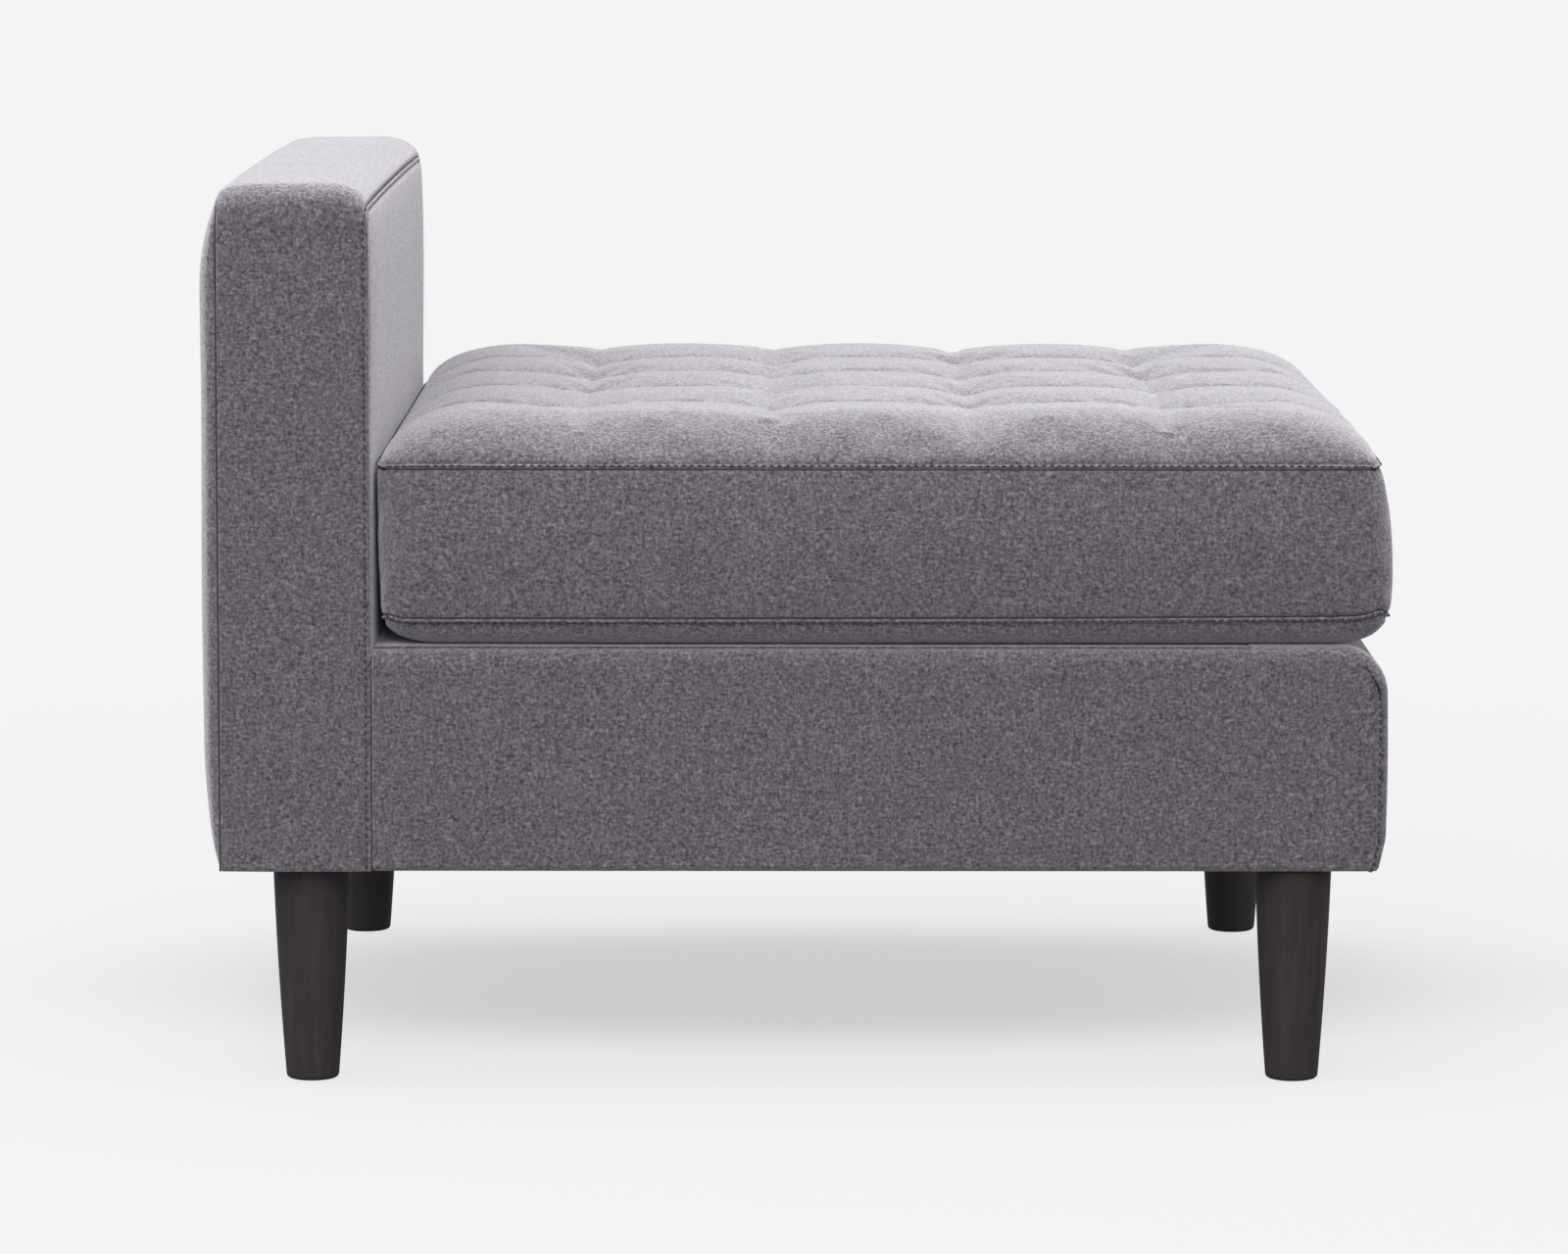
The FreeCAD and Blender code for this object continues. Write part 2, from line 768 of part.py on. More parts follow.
def planLoop(half, front, back, corner, swell=None):
    # Plan of the cushion, four sides joined by round corners. swell, from 0 to 1, is
    # the share of their full swelling that the front and the two ends show.
    inX = f"(({half}) - ({corner}))"
    lowY = f"(({front}) + ({corner}))"
    highY = f"(({back}) - ({corner}))"
    frontArc = ()
    endArc = ()
    if swell is not None:
        frontArc = (arcRadius(f"2 * {inX}", f"{swell} * frontSwell / 2"),)
        endArc = (arcRadius(f"{highY} - {lowY}", f"{swell} * sideSwell"),)
    return [
        (f"-{inX}", front) + frontArc,
        (inX, front, corner),
        (half, lowY) + endArc,
        (half, highY, corner),
        (inX, back),
        (f"-{inX}", back, corner),
        (f"-({half})", highY) + endArc,
        (f"-({half})", lowY, corner),
    ]


def loftThrough(body, sections):
    # Ruled loft through plan loops at rising levels
    sketches = []
    for level, corners in sections:
        sketch = newSketch(body, "XY_Plane", level)
        addLoop(sketch, corners)
        sketches.append(sketch)
    feature = body.newObject("PartDesign::AdditiveLoft", f"{body.Label}_loft")
    feature.Profile = sketches[0]
    feature.Sections = sketches[1:]
    feature.Ruled = True
    return sketches


# The boxing runs between the seams of the top and bottom panels
boxingLow = "(cushionSeamLow + seamEdge)"
boxingHigh = "(cushionSeamHigh - seamEdge)"
boxingMiddle = f"({boxingLow} + {boxingHigh}) / 2"
coreBack = "(zipSlotFloor - 2.5)"
seamShare = "0.3"


def lowSeamLoop():
    front = "cushionFront - 5"
    return planLoop("cushionHalf", front, "cushionBack - 3", "cushionCorner", seamShare)


def highSeamLoop():
    front = "cushionFront"
    return planLoop("cushionHalf", front, "cushionBack", "cushionCorner", seamShare)


def coreLoop():
    front = "cushionFront + wrap"
    return planLoop("cushionHalf - wrap", front, coreBack, "cushionCorner - wrap")


def makeBoxing():
    # The strip round the cushion swells between its two seams, most at the front
    quarter = f"({boxingHigh} - {boxingLow}) / 4"
    # Level, how much wider each side is, how much longer in front and shorter behind,
    # and the share of the full swelling
    between = [
        (f"{boxingMiddle} - {quarter}", "1.5", "8", "1.6", "0.85"),
        (boxingMiddle, "2", "8.5", "1", "1"),
        (f"{boxingMiddle} + {quarter}", "1.5", "6", "0.4", "0.85"),
    ]
    sections = [(boxingLow, lowSeamLoop())]
    for level, wider, longer, shorter, swell in between:
        half = f"cushionHalf + {wider}"
        front = f"cushionFront - {longer}"
        back = f"cushionBack - {shorter}"
        sections.append((level, planLoop(half, front, back, "cushionCorner", swell)))
    sections.append((boxingHigh, highSeamLoop()))
    body = newBody("cushion_boxing")
    loftThrough(body, sections)
    hollow = newSketch(body, "XY_Plane")
    addLoop(hollow, coreLoop())
    pocket(body, hollow)
    opening = newSketch(body, "XY_Plane")
    addLoop(opening, rectangle("-zipHalf", "zipHalf", f"{coreBack} - 5", "cushionBack + 5"))
    pocket(body, opening)


def makeZip():
    # Rear strip of the boxing, with a slot along its middle for the zip
    slotLow = "zipLevel - zipSlot / 2"
    slotHigh = "zipLevel + zipSlot / 2"
    face = "cushionBack - 1"
    outline = [
        (coreBack, boxingLow),
        ("cushionBack - 3", boxingLow),
        (face, slotLow),
        ("zipSlotFloor", slotLow),
        ("zipSlotFloor", slotHigh),
        (face, slotHigh),
        ("cushionBack", boxingHigh),
        (coreBack, boxingHigh),
    ]
    across("cushion_zip_panel", outline, "-zipHalf", "zipHalf")
    # The two tapes and the closed row of teeth between them
    toothLow = "zipLevel - zipTeeth / 2"
    toothHigh = "zipLevel + zipTeeth / 2"
    toothBack = "zipTapeBack - zipTeethFront + zipTapeFront"
    chain = [
        ("zipTapeBack", slotLow),
        ("zipTapeFront", slotLow),
        ("zipTapeFront", toothLow),
        ("zipTeethFront", toothLow),
        ("zipTeethFront", toothHigh),
        ("zipTapeFront", toothHigh),
        ("zipTapeFront", slotHigh),
        ("zipTapeBack", slotHigh),
        ("zipTapeBack", toothHigh),
        (toothBack, toothHigh),
        (toothBack, toothLow),
        ("zipTapeBack", toothLow),
    ]
    across("zip_chain", chain, "-zipHalf", "zipHalf")
    makeSlider()


def makeSlider():
    # Slider that straddles the teeth with a gap all round, its nose tapered
    inner = "(zipTeeth / 2 + zipGap)"
    outer = "zipSliderHalf"
    lip = "zipTapeFront + zipGap"
    plate = "zipTeethFront + zipGap"
    face = f"{plate} + zipSliderPlate"
    outline = [
        (lip, f"zipLevel - {outer}"),
        (face, f"zipLevel - {outer}"),
        (face, f"zipLevel + {outer}"),
        (lip, f"zipLevel + {outer}"),
        (lip, f"zipLevel + {inner}"),
        (plate, f"zipLevel + {inner}"),
        (plate, f"zipLevel - {inner}"),
        (lip, f"zipLevel - {inner}"),
    ]
    body = across("zip_slider", outline, "zipRest", "zipRest + zipSliderLong")
    for side in (1, -1):
        corners = [
            ("zipSliderLong - zipNose", f"zipLevel + {side} * {outer}"),
            ("zipSliderLong", f"zipLevel + {side} * ({inner} - 0.5)"),
            ("zipSliderLong", f"zipLevel + {side} * {outer}"),
        ]
        if side < 0:
            corners.reverse()
        sketch = newSketch(body, "XZ_Plane")
        addLoop(sketch, corners)
        pocket(body, sketch)


def tuftRows():
    return [f"{step} * tuftPitch" for step in (-1.5, -0.5, 0.5, 1.5)]


def makeCore():
    # Foam block with a narrow slot under every tuft for its tie
    body = upright("cushion_core", coreLoop(), boxingLow, boxingHigh)
    slots = newSketch(body, "XY_Plane")
    tie = newBody("tuft_tie", listed=False)
    outline = newSketch(tie, "XY_Plane")
    half = "tieWidth / 2"
    thin = "tieThick / 2"
    addLoop(outline, rectangle(f"-{half}", half, f"-{thin}", thin))
    pad(tie, outline, f"{boxingHigh} - {boxingLow}")
    places = []
    for x in tuftRows():
        for y in tuftRows():
            middle = f"tuftMiddle + {y}"
            hole = rectangle(
                f"{x} - {half} - tieGap",
                f"{x} + {half} + tieGap",
                f"{middle} - {thin} - tieGap",
                f"{middle} + {thin} + tieGap",
            )
            addLoop(slots, hole)
            spot = Vector(value(x), value(middle), value(boxingLow))
            places.append(FreeCAD.Placement(spot, FreeCAD.Rotation()))
    pocket(body, slots)
    makeGroup("tuft_ties", tie, places)


def makeBottomPanel():
    # Bottom panel: flat where it lies on the deck, drawn up to the seam all round
    sections = []
    # Height over the deck, insets at the sides and at the ends, and the larger corners
    for rise, side, end, turn in (("0", "15", "30", "16"), ("2.6", "7", "14", "9")):
        half = f"cushionHalf - {side}"
        front = f"cushionFront + {end}"
        back = f"cushionBack - {end}"
        corners = planLoop(half, front, back, f"cushionCorner + {turn}", "0.1")
        sections.append((f"cushionLow + {rise}", corners))
    half = "cushionHalf - 1"
    corners = planLoop(half, "cushionFront - 2", "cushionBack - 5", "cushionCorner + 2", seamShare)
    sections.append(("cushionLow + 8.5", corners))
    sections.append(("cushionSeamLow", lowSeamLoop()))
    body = newBody("cushion_bottom_panel")
    sketches = loftThrough(body, sections)
    document.recompute()
    pad(body, sketches[-1], "seamEdge")


def puffHeights(x):
    # Height over the seam, at one X, of the puffs' middles and of the lines that
    # join the tufts along this section
    edge = value(f"cushionHalf + {seamShare} * sideSwell")
    depth = min((edge - abs(x)) / value("edgeRoll"), 1)
    roll = math.sqrt(max(1 - (1 - depth) ** 2, 0))
    pitch = value("tuftPitch")
    outerRow = 1.5 * pitch
    pull = 0
    if abs(x) < outerRow + pitch / 2:
        pull = math.cos(math.pi * (abs(x) - outerRow) / pitch) ** 2
    crease = value("puffHigh - creaseDrop")
    high = value("puffHigh") - value("creaseDrop") * pull
    low = crease - value("tuftDrop - creaseDrop") * pull
    least = 0.5
    return max(high * roll, 2 * least), max(low * roll, least)


def puffSection(x):
    # Closed section across the tufts at one X: flat underneath, five puffs on top
    high, low = puffHeights(x)
    seam = value("cushionSeamHigh")
    front = value(f"cushionFront - {seamShare} * frontSwell / 2")
    back = value("cushionBack")
    knots = [value(f"tuftMiddle + {row}") for row in tuftRows()]
    ends = [front] + knots + [back]
    heights = [0] + [low] * len(knots) + [0]
    edges = []
    bottom = value(boxingHigh)
    edges.append(Part.LineSegment(Vector(x, back, bottom), Vector(x, front, bottom)))
    edges.append(Part.LineSegment(Vector(x, front, bottom), Vector(x, front, seam)))
    for index in range(len(ends) - 1):
        start = Vector(x, ends[index], seam + heights[index])
        end = Vector(x, ends[index + 1], seam + heights[index + 1])
        middle = Vector(x, (start.y + end.y) / 2, seam + high)
        edges.append(Part.Arc(start, middle, end))
    edges.append(Part.LineSegment(Vector(x, back, seam), Vector(x, back, bottom)))
    return Part.Wire([edge.toShape() for edge in edges])


def makeTopPanel():
    # Quilted top: five by five puffs between sixteen blind tufts
    edge = value(f"cushionHalf + {seamShare} * sideSwell")
    pitch = value("tuftPitch")
    half = [step * pitch / 4 for step in range(1, 8)]
    half += [edge - inset for inset in (75, 40, 18, 6, 0)]
    stations = [-x for x in reversed(half)] + [0] + half
    sections = [puffSection(x) for x in stations]
    quilt = Part.makeLoft(sections, True, True)
    plan = []
    corners = highSeamLoop()
    points = [Vector(value(corner[0]), value(corner[1]), 0) for corner in corners]
    for index, corner in enumerate(corners):
        start = points[index]
        end = points[(index + 1) % len(points)]
        if len(corner) == 3:
            plan.append(circleEdge(start, end, value(corner[2])).toShape())
        else:
            plan.append(Part.LineSegment(start, end).toShape())
    block = Part.Face(Part.Wire(plan)).extrude(Vector(0, 0, 2 * value("puffHigh")))
    block.translate(Vector(0, 0, value(boxingHigh)))
    panel = document.addObject("Part::Feature", "cushion_top_panel")
    panel.Shape = quilt.common(block)
    parts.append(panel)


def makeCushion():
    makeBoxing()
    makeZip()
    makeCore()
    makeBottomPanel()
    makeTopPanel()


makeFrame()
makeLegs()
makeWebbing()
makeDeck()
makeBack()
makeCushion()
document.recompute()

broken = []
for thing in document.Objects:
    if "Invalid" in thing.State or "Error" in thing.State:
        broken.append(thing.Name)
for part in parts:
    if part.Shape.isNull() or not part.Shape.isValid():
        broken.append(part.Label)
if broken:
    raise RuntimeError(f"failed objects: {broken}")

os.makedirs("parts", exist_ok=True)
for part in parts:
    part.Shape.exportStep(f"parts/{part.Label}.step")
print(len(parts), "sub-parts")
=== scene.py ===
# Armless sofa: one seat with a low slab back, a box base on four turned legs and a
# loose box cushion with biscuit tufting. Metres, +Z up, the seat faces -Y.

import json
import math

import bpy
import numpy as np
from mathutils import Matrix, Vector


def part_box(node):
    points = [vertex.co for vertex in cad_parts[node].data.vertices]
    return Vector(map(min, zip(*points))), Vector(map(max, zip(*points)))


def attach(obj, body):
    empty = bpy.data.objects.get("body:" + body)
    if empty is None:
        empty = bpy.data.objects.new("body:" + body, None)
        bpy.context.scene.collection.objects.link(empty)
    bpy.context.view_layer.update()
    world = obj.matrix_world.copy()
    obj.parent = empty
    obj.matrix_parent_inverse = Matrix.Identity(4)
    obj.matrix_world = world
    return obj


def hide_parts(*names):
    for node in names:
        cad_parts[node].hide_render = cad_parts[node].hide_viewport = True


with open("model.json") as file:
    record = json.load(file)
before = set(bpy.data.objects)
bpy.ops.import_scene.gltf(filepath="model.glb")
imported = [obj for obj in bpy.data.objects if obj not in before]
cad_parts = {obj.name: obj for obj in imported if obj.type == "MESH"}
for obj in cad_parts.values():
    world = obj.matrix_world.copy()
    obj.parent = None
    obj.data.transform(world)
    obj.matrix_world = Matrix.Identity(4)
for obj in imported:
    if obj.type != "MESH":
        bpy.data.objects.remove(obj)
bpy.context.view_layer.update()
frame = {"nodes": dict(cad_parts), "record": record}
mm = 0.001
print("frame loaded,", len(frame["nodes"]), "nodes")


# Shapes as arrays

def eased(t):
    # 3t^2 - 2t^3, level at both ends
    t = np.clip(t, 0, 1)
    return t * t * (3 - 2 * t)


def rounded(t):
    # Quarter circle that starts upright at 0 and is level from 1 on
    t = np.clip(t, 0, 1)
    return np.sqrt(1 - (1 - t) ** 2)


def uneven(x, y, seed, wave):
    # Hand-made unevenness between -1 and 1: six crossed sine waves of about one length
    source = np.random.default_rng(seed)
    total = np.zeros(np.broadcast(x, y).shape)
    for _ in range(6):
        turn = source.uniform(0, 2 * math.pi)
        length = wave * source.uniform(0.7, 1.5)
        shift = source.uniform(0, 2 * math.pi)
        run = x * math.cos(turn) + y * math.sin(turn)
        total = total + np.sin(2 * math.pi * run / length + shift)
    return total / 6


def curveAt(lines, places, ring=False):
    # Rows read at fractional places by the Catmull-Rom cubic through the four around each
    if ring:
        padded = np.concatenate([lines[-1:], lines, lines[:2]])
    else:
        first = 2 * lines[:1] - lines[1:2]
        last = 2 * lines[-1:] - lines[-2:-1]
        padded = np.concatenate([first, lines, last])
    start = np.clip(np.floor(places).astype(int), 0, len(padded) - 4)
    t = (places - start).reshape((-1,) + (1,) * (lines.ndim - 1))
    a, b, c, d = (padded[start + step] for step in range(4))
    slope = (c - a) * t
    bend = (2 * a - 5 * b + 4 * c - d) * t ** 2
    twist = (3 * b - a - 3 * c + d) * t ** 3
    return b + (slope + bend + twist) / 2


def gridAt(grid, rows, columns, ring=False):
    # A grid read at fractional rows and columns
    across = curveAt(grid, rows)
    return curveAt(across.swapaxes(0, 1), columns, ring).swapaxes(0, 1)


def gridNormals(grid):
    # Cross product of the step along the columns and the step along the rows
    normals = np.cross(np.gradient(grid, axis=1), np.gradient(grid, axis=0))
    return normals / np.maximum(np.linalg.norm(normals, axis=2, keepdims=True), 1e-12)


def refined(grid, each, ends=(True, True)):
    # The grid with more rows and columns, closest beside its seams
    return gridAt(grid, finePlaces(grid.shape[0], each, ends), finePlaces(grid.shape[1], each))


def fromEdges(grid, axis):
    # Length along the surface from the first line and from the last one
    steps = np.linalg.norm(np.diff(grid, axis=axis), axis=2)
    run = np.cumsum(steps, axis=axis)
    start = np.zeros_like(np.take(run, [0], axis=axis))
    run = np.concatenate([start, run], axis=axis)
    return run, np.take(run, [-1], axis=axis) - run


def runLength(points):
    # Length along a path as far as each of its points
    return np.concatenate([[0], np.cumsum(np.linalg.norm(np.diff(points, axis=0), axis=1))])


def readAt(places, run, points):
    # A path's points at lengths along it
    return np.stack([np.interp(places, run, column) for column in points.T], axis=1)


def pathPoints(corners, spacing):
    # A path of straight runs and round corners, as evenly spaced points. A corner is
    # its place and its radius; its arc runs between the two tangent points.
    pieces = [np.array([corners[0][:2]], float)]
    for before, corner, after in zip(corners, corners[1:], corners[2:]):
        place = np.array(corner[:2], float)
        inward = np.array(before[:2], float) - place
        onward = np.array(after[:2], float) - place
        inward /= np.linalg.norm(inward)
        onward /= np.linalg.norm(onward)
        half = math.acos(np.clip(inward @ onward, -1, 1)) / 2
        reach = corner[2] / math.tan(half)
        middle = place + (inward + onward) / np.linalg.norm(inward + onward) * corner[2] / math.sin(half)
        start = place + inward * reach - middle
        end = place + onward * reach - middle
        share = np.linspace(0, 1, 25)[:, None]
        sweep = math.pi - 2 * half
        arc = (np.sin((1 - share) * sweep) * start + np.sin(share * sweep) * end) / math.sin(sweep)
        pieces.append(middle + arc)
    pieces.append(np.array([corners[-1][:2]], float))
    path = np.concatenate(pieces)
    run = runLength(path)
    count = max(2, round(run[-1] / spacing) + 1)
    return readAt(np.linspace(0, run[-1], count), run, path)


def warped(count):
    # Even steps from 0 to 1 drawn towards both ends
    t = np.linspace(0, 1, count + 1)
    return t - 0.45 * np.sin(2 * math.pi * t) / (2 * math.pi)


def straight(start, end, count):
    return start + warped(count)[:, None] * (end - start)


def filled(bottom, top, first, last):
    # Coons patch within four lines: the two surfaces ruled between opposite lines, less
    # the one through the corners
    u = warped(len(top) - 1)[None, :, None]
    v = warped(len(first) - 1)[:, None, None]
    ruled = (1 - v) * bottom + v * top + (1 - u) * first[:, None] + u * last[:, None]
    low, high = ((1 - u) * line[0] + u * line[-1] for line in (bottom, top))
    return ruled - (1 - v) * low - v * high


def carried(profile, x):
    # A profile in Y and Z repeated at each X
    grid = np.zeros((len(profile), len(x), 3))
    grid[..., 0] = x
    grid[..., 1:] = profile[:, None]
    return grid


def gridFaces(rows, columns, ring=False, offset=0):
    # Squares between neighbouring rows and columns, wound so that they face outwards
    index = np.arange(rows * columns).reshape(rows, columns) + offset
    if ring:
        index = np.concatenate([index, index[:, :1]], axis=1)
    corners = [index[:-1, :-1], index[:-1, 1:], index[1:, 1:], index[1:, :-1]]
    return np.stack(corners, axis=-1).reshape(-1, 4)


def addMesh(name, points, faces, extra=()):
    # Points and squares, and perhaps a few larger faces, as a smooth object
    mesh = bpy.data.meshes.new(name)
    every = [tuple(face) for face in faces.tolist()] + [tuple(face) for face in extra]
    mesh.from_pydata(points.reshape(-1, 3).tolist(), [], every)
    mesh.polygons.foreach_set("use_smooth", np.ones(len(mesh.polygons), bool))
    mesh.update()
    thing = bpy.data.objects.new(name, mesh)
    bpy.context.scene.collection.objects.link(thing)
    return thing


def rimAndWall(rows, columns, behind):
    # A grid's outermost points once round, and the faces from there to a second rim
    # whose points are numbered by behind
    index = np.arange(rows * columns).reshape(rows, columns)
    rim = np.concatenate([index[0, :-1], index[:-1, -1], index[-1, :0:-1], index[:0:-1, 0]])
    second = behind(rim)
    return rim, np.stack([rim, second, np.roll(second, -1), np.roll(rim, -1)], axis=1)


def addPanel(name, grid, behind):
    # A cover panel closed behind: its rim goes back by the vector given, to a flat cap
    rows, columns = grid.shape[:2]
    rim, wall = rimAndWall(rows, columns, lambda rim: np.arange(len(rim)) + rows * columns)
    flat = grid.reshape(-1, 3)
    narrower = flat[rim] + (flat[rim].mean(axis=0) - flat[rim]) * 0.004
    points = np.concatenate([flat, narrower + np.array(behind)])
    return addMesh(name, points, np.concatenate([gridFaces(rows, columns), wall]), [wall[::-1, 1].tolist()])


def addShell(name, grid, thick, inward=None):
    # A strip of cloth and wadding: the grid, a copy of it moved in by its thickness, and
    # a wall round both
    rows, columns = grid.shape[:2]
    if inward is None:
        inward = -gridNormals(grid)
    points = np.concatenate([grid.reshape(-1, 3), (grid + inward * thick).reshape(-1, 3)])
    wall = rimAndWall(rows, columns, lambda rim: rim + rows * columns)[1]
    under = gridFaces(rows, columns, False, rows * columns)[:, ::-1]
    return addMesh(name, points, np.concatenate([gridFaces(rows, columns), under, wall]))


print("tools ready")


# Seams. A seam pulls both covers in. Where it is folded, the cover rises over its turned
# edge as far as the line of stitches; where it is lapped, only the stitches pull it in.

seam = {
    # Distances from the seam and heights over the plain cover, in millimetres
    "folded": [(0, -2.2), (0.7, -0.22), (1.5, 1), (2.8, 0.9), (3.8, -1.2), (4.4, -0.72), (6.3, 0)],
    "lapped": [(0, -0.6), (1.4, 0), (2.2, 0), (3.8, -1.4), (6, 0)],
    "plain": [(0, -2.2), (0.7, -1.1), (1.8, -0.2), (4, 0)],
    "stitchAway": 3.8 * mm,
    "stitchLong": 3.8 * mm,
    "stitchPitch": 5.8 * mm,
    "threadRadius": 0.55 * mm,
    # Painted shade: dark tubes along the seams' grooves, their radius, depth under the cover and step
    "shadeTubeRadius": 0.55 * mm,
    "shadeTubeDeep": 1.1 * mm,
    "shadeTubeStep": 5 * mm,
}


def seamed(grid, styles):
    # Adds the seams' relief along the normals. styles names the seam, if any, at the
    # first row, the last row, the first column and the last column.
    runs = fromEdges(grid, 0) + fromEdges(grid, 1)
    height = np.zeros(grid.shape[:2])
    for style in ("folded", "lapped", "plain"):
        near = [run for run, chosen in zip(runs, styles) if chosen == style]
        if near:
            distance = np.minimum.reduce(np.broadcast_arrays(*near))
            height += np.interp(distance, *(np.array(seam[style]).T * mm))
    return grid + gridNormals(grid) * height[..., None]


def finePlaces(count, each, ends=(True, True)):
    # Places between coarse lines, closer together in the cell beside a seam
    near = np.array([0, 0.05, 0.1, 0.16, 0.22, 0.28, 0.34, 0.4, 0.46, 0.54, 0.64, 0.8])
    inner = np.arange(0, count - 1 + 1e-9, 1 / each)
    if ends[0]:
        inner = np.concatenate([near, inner[inner > 0.9]])
    if ends[1]:
        inner = np.concatenate([inner[inner < count - 1.9], np.sort(count - 1 - near)])
    return inner


def turnedTo(grid, side):
    # The grid and its normals, with the edge that is named as their first row
    both = [grid, gridNormals(grid)]
    if side.endswith("Column"):
        both = [one.swapaxes(0, 1) for one in both]
    return [one[::-1] for one in both] if side.startswith("last") else both


def stitchLine(grid, side):
    # Points on a grid as far from one edge as its stitches are, and the normals there
    grid, normals = turnedTo(grid, side)
    wide = seam["stitchAway"]
    run = fromEdges(grid, 0)[0]
    row = np.maximum(np.argmax(run >= wide, axis=0), 1)
    columns = np.arange(grid.shape[1])
    before, after = run[row - 1, columns], run[row, columns]
    share = ((wide - before) / (after - before))[:, None]
    line = grid[row - 1, columns] * (1 - share) + grid[row, columns] * share
    return line, normals[row, columns]


def edgeLine(grid, side):
    # The outermost row or column of a grid and its normals
    grid, normals = turnedTo(grid, side)
    return grid[0], normals[0]


def roundThread(aside, out):
    # The six directions round a thread at each of its points
    turn = np.arange(6) * math.pi / 3
    return aside[..., None, :] * np.cos(turn)[:, None] + out[..., None, :] * np.sin(turn)[:, None]


def addStitches(name, lines):
    # Short threads along each line, with the normals there: every thread is a tube of six
    # sides and five rings, thin at both ends and bowed outwards
    share = np.linspace(-1, 1, 5)
    width = np.array([0.25, 0.85, 1, 0.85, 0.25]) * seam["threadRadius"]
    reach = share * seam["stitchLong"] / 2
    bow = (1 - share ** 2) * seam["threadRadius"] * 1.2
    points = []
    for line, outward in lines:
        run = runLength(line)
        middles = np.arange(seam["stitchPitch"] / 2, run[-1], seam["stitchPitch"])
        at, out = readAt(middles, run, line), readAt(middles, run, outward)
        along = readAt(middles + mm, run, line) - at
        along /= np.maximum(np.linalg.norm(along, axis=1, keepdims=True), 1e-9)
        spine = at[:, None] + along[:, None] * reach[:, None] + out[:, None] * bow[:, None]
        circle = roundThread(np.cross(along, out), out)[:, None]
        points.append(spine[:, :, None] + circle * width[:, None, None])
    points = np.concatenate(points)
    starts = np.arange(len(points)) * 30
    faces = (gridFaces(5, 6, True)[:, ::-1] + starts[:, None, None]).reshape(-1, 4)
    ends = [list(range(6)), list(range(29, 23, -1))]
    caps = [[corner + start for corner in end] for start in starts.tolist() for end in ends]
    return addMesh(name, points, faces, caps)


def addSeamShadeTubes(name, lines):
    # Painted shade: a dark tube laid along the bottom of each seam's groove, in place of the shade there;
    # one tube a line
    points, faces, caps, total = [], [], [], 0
    for line, outward in lines:
        run = runLength(line)
        places = np.linspace(0, run[-1], max(3, round(run[-1] / seam["shadeTubeStep"])))
        at, out = readAt(places, run, line), readAt(places, run, outward)
        along = np.gradient(at, axis=0)
        along /= np.linalg.norm(along, axis=1, keepdims=True)
        circle = roundThread(np.cross(along, out), out) * seam["shadeTubeRadius"]
        points.append(((at - out * seam["shadeTubeDeep"])[:, None] + circle).reshape(-1, 3))
        faces.append(gridFaces(len(at), 6, True, total)[:, ::-1])
        last = total + len(at) * 6
        caps += [list(range(total, total + 6)), list(range(last - 1, last - 7, -1))]
        total = last
    return addMesh(name, np.concatenate(points), np.concatenate(faces), caps)


print("seams ready")


# Cover cloth, blown up by its filling

cloth = {
    "frames": 20,
    "furthest": 7 * mm,
    "tuftHeld": 7 * mm,
    "topShare": 0.6,
    "boxingShare": 0.35,
    "settings": {
        "quality": 5,
        "mass": 0.3,
        "tension_stiffness": 12,
        "compression_stiffness": 8,
        "shear_stiffness": 4,
        "bending_stiffness": 1.5,
        "shrink_min": -0.012,
        "use_pressure": True,
        "uniform_pressure_force": 4,
        "vertex_group_mass": "sewn",
    },
}


def blowUp(name, points, faces, held):
    # Runs the closed cover as cloth under inside pressure and gives its new points.
    thing = addMesh(name, points, faces)
    thing.vertex_groups.new(name="sewn").add(np.nonzero(held)[0].tolist(), 1, "REPLACE")
    modifier = thing.modifiers.new("Cloth", "CLOTH")
    for word, value in cloth["settings"].items():
        setattr(modifier.settings, word, value)
    modifier.settings.effector_weights.gravity = 0
    modifier.collision_settings.use_collision = False
    modifier.point_cache.frame_start = 1
    modifier.point_cache.frame_end = cloth["frames"]
    scene = bpy.context.scene
    for step in range(1, cloth["frames"] + 1):
        scene.frame_set(step)
    shown = thing.evaluated_get(bpy.context.evaluated_depsgraph_get())
    after = np.zeros(len(points) * 3)
    shown.data.vertices.foreach_get("co", after)
    scene.frame_set(1)
    move = after.reshape(-1, 3) - points
    length = np.linalg.norm(move, axis=1, keepdims=True)
    print(name, "blown up, mean move", round(float(length.mean()) * 1000, 2), "mm, most",
          round(float(length.max()) * 1000, 2), "mm")
    bpy.data.objects.remove(thing)
    return points + move * np.minimum(1, cloth["furthest"] / np.maximum(length, 1e-9))


# Seat cushion: a tufted top, a boxing strip with a zip behind, and a bottom panel

topLow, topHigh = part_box("cushion_top_panel")
underLow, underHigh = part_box("cushion_bottom_panel")
seamEdge = 3 * mm

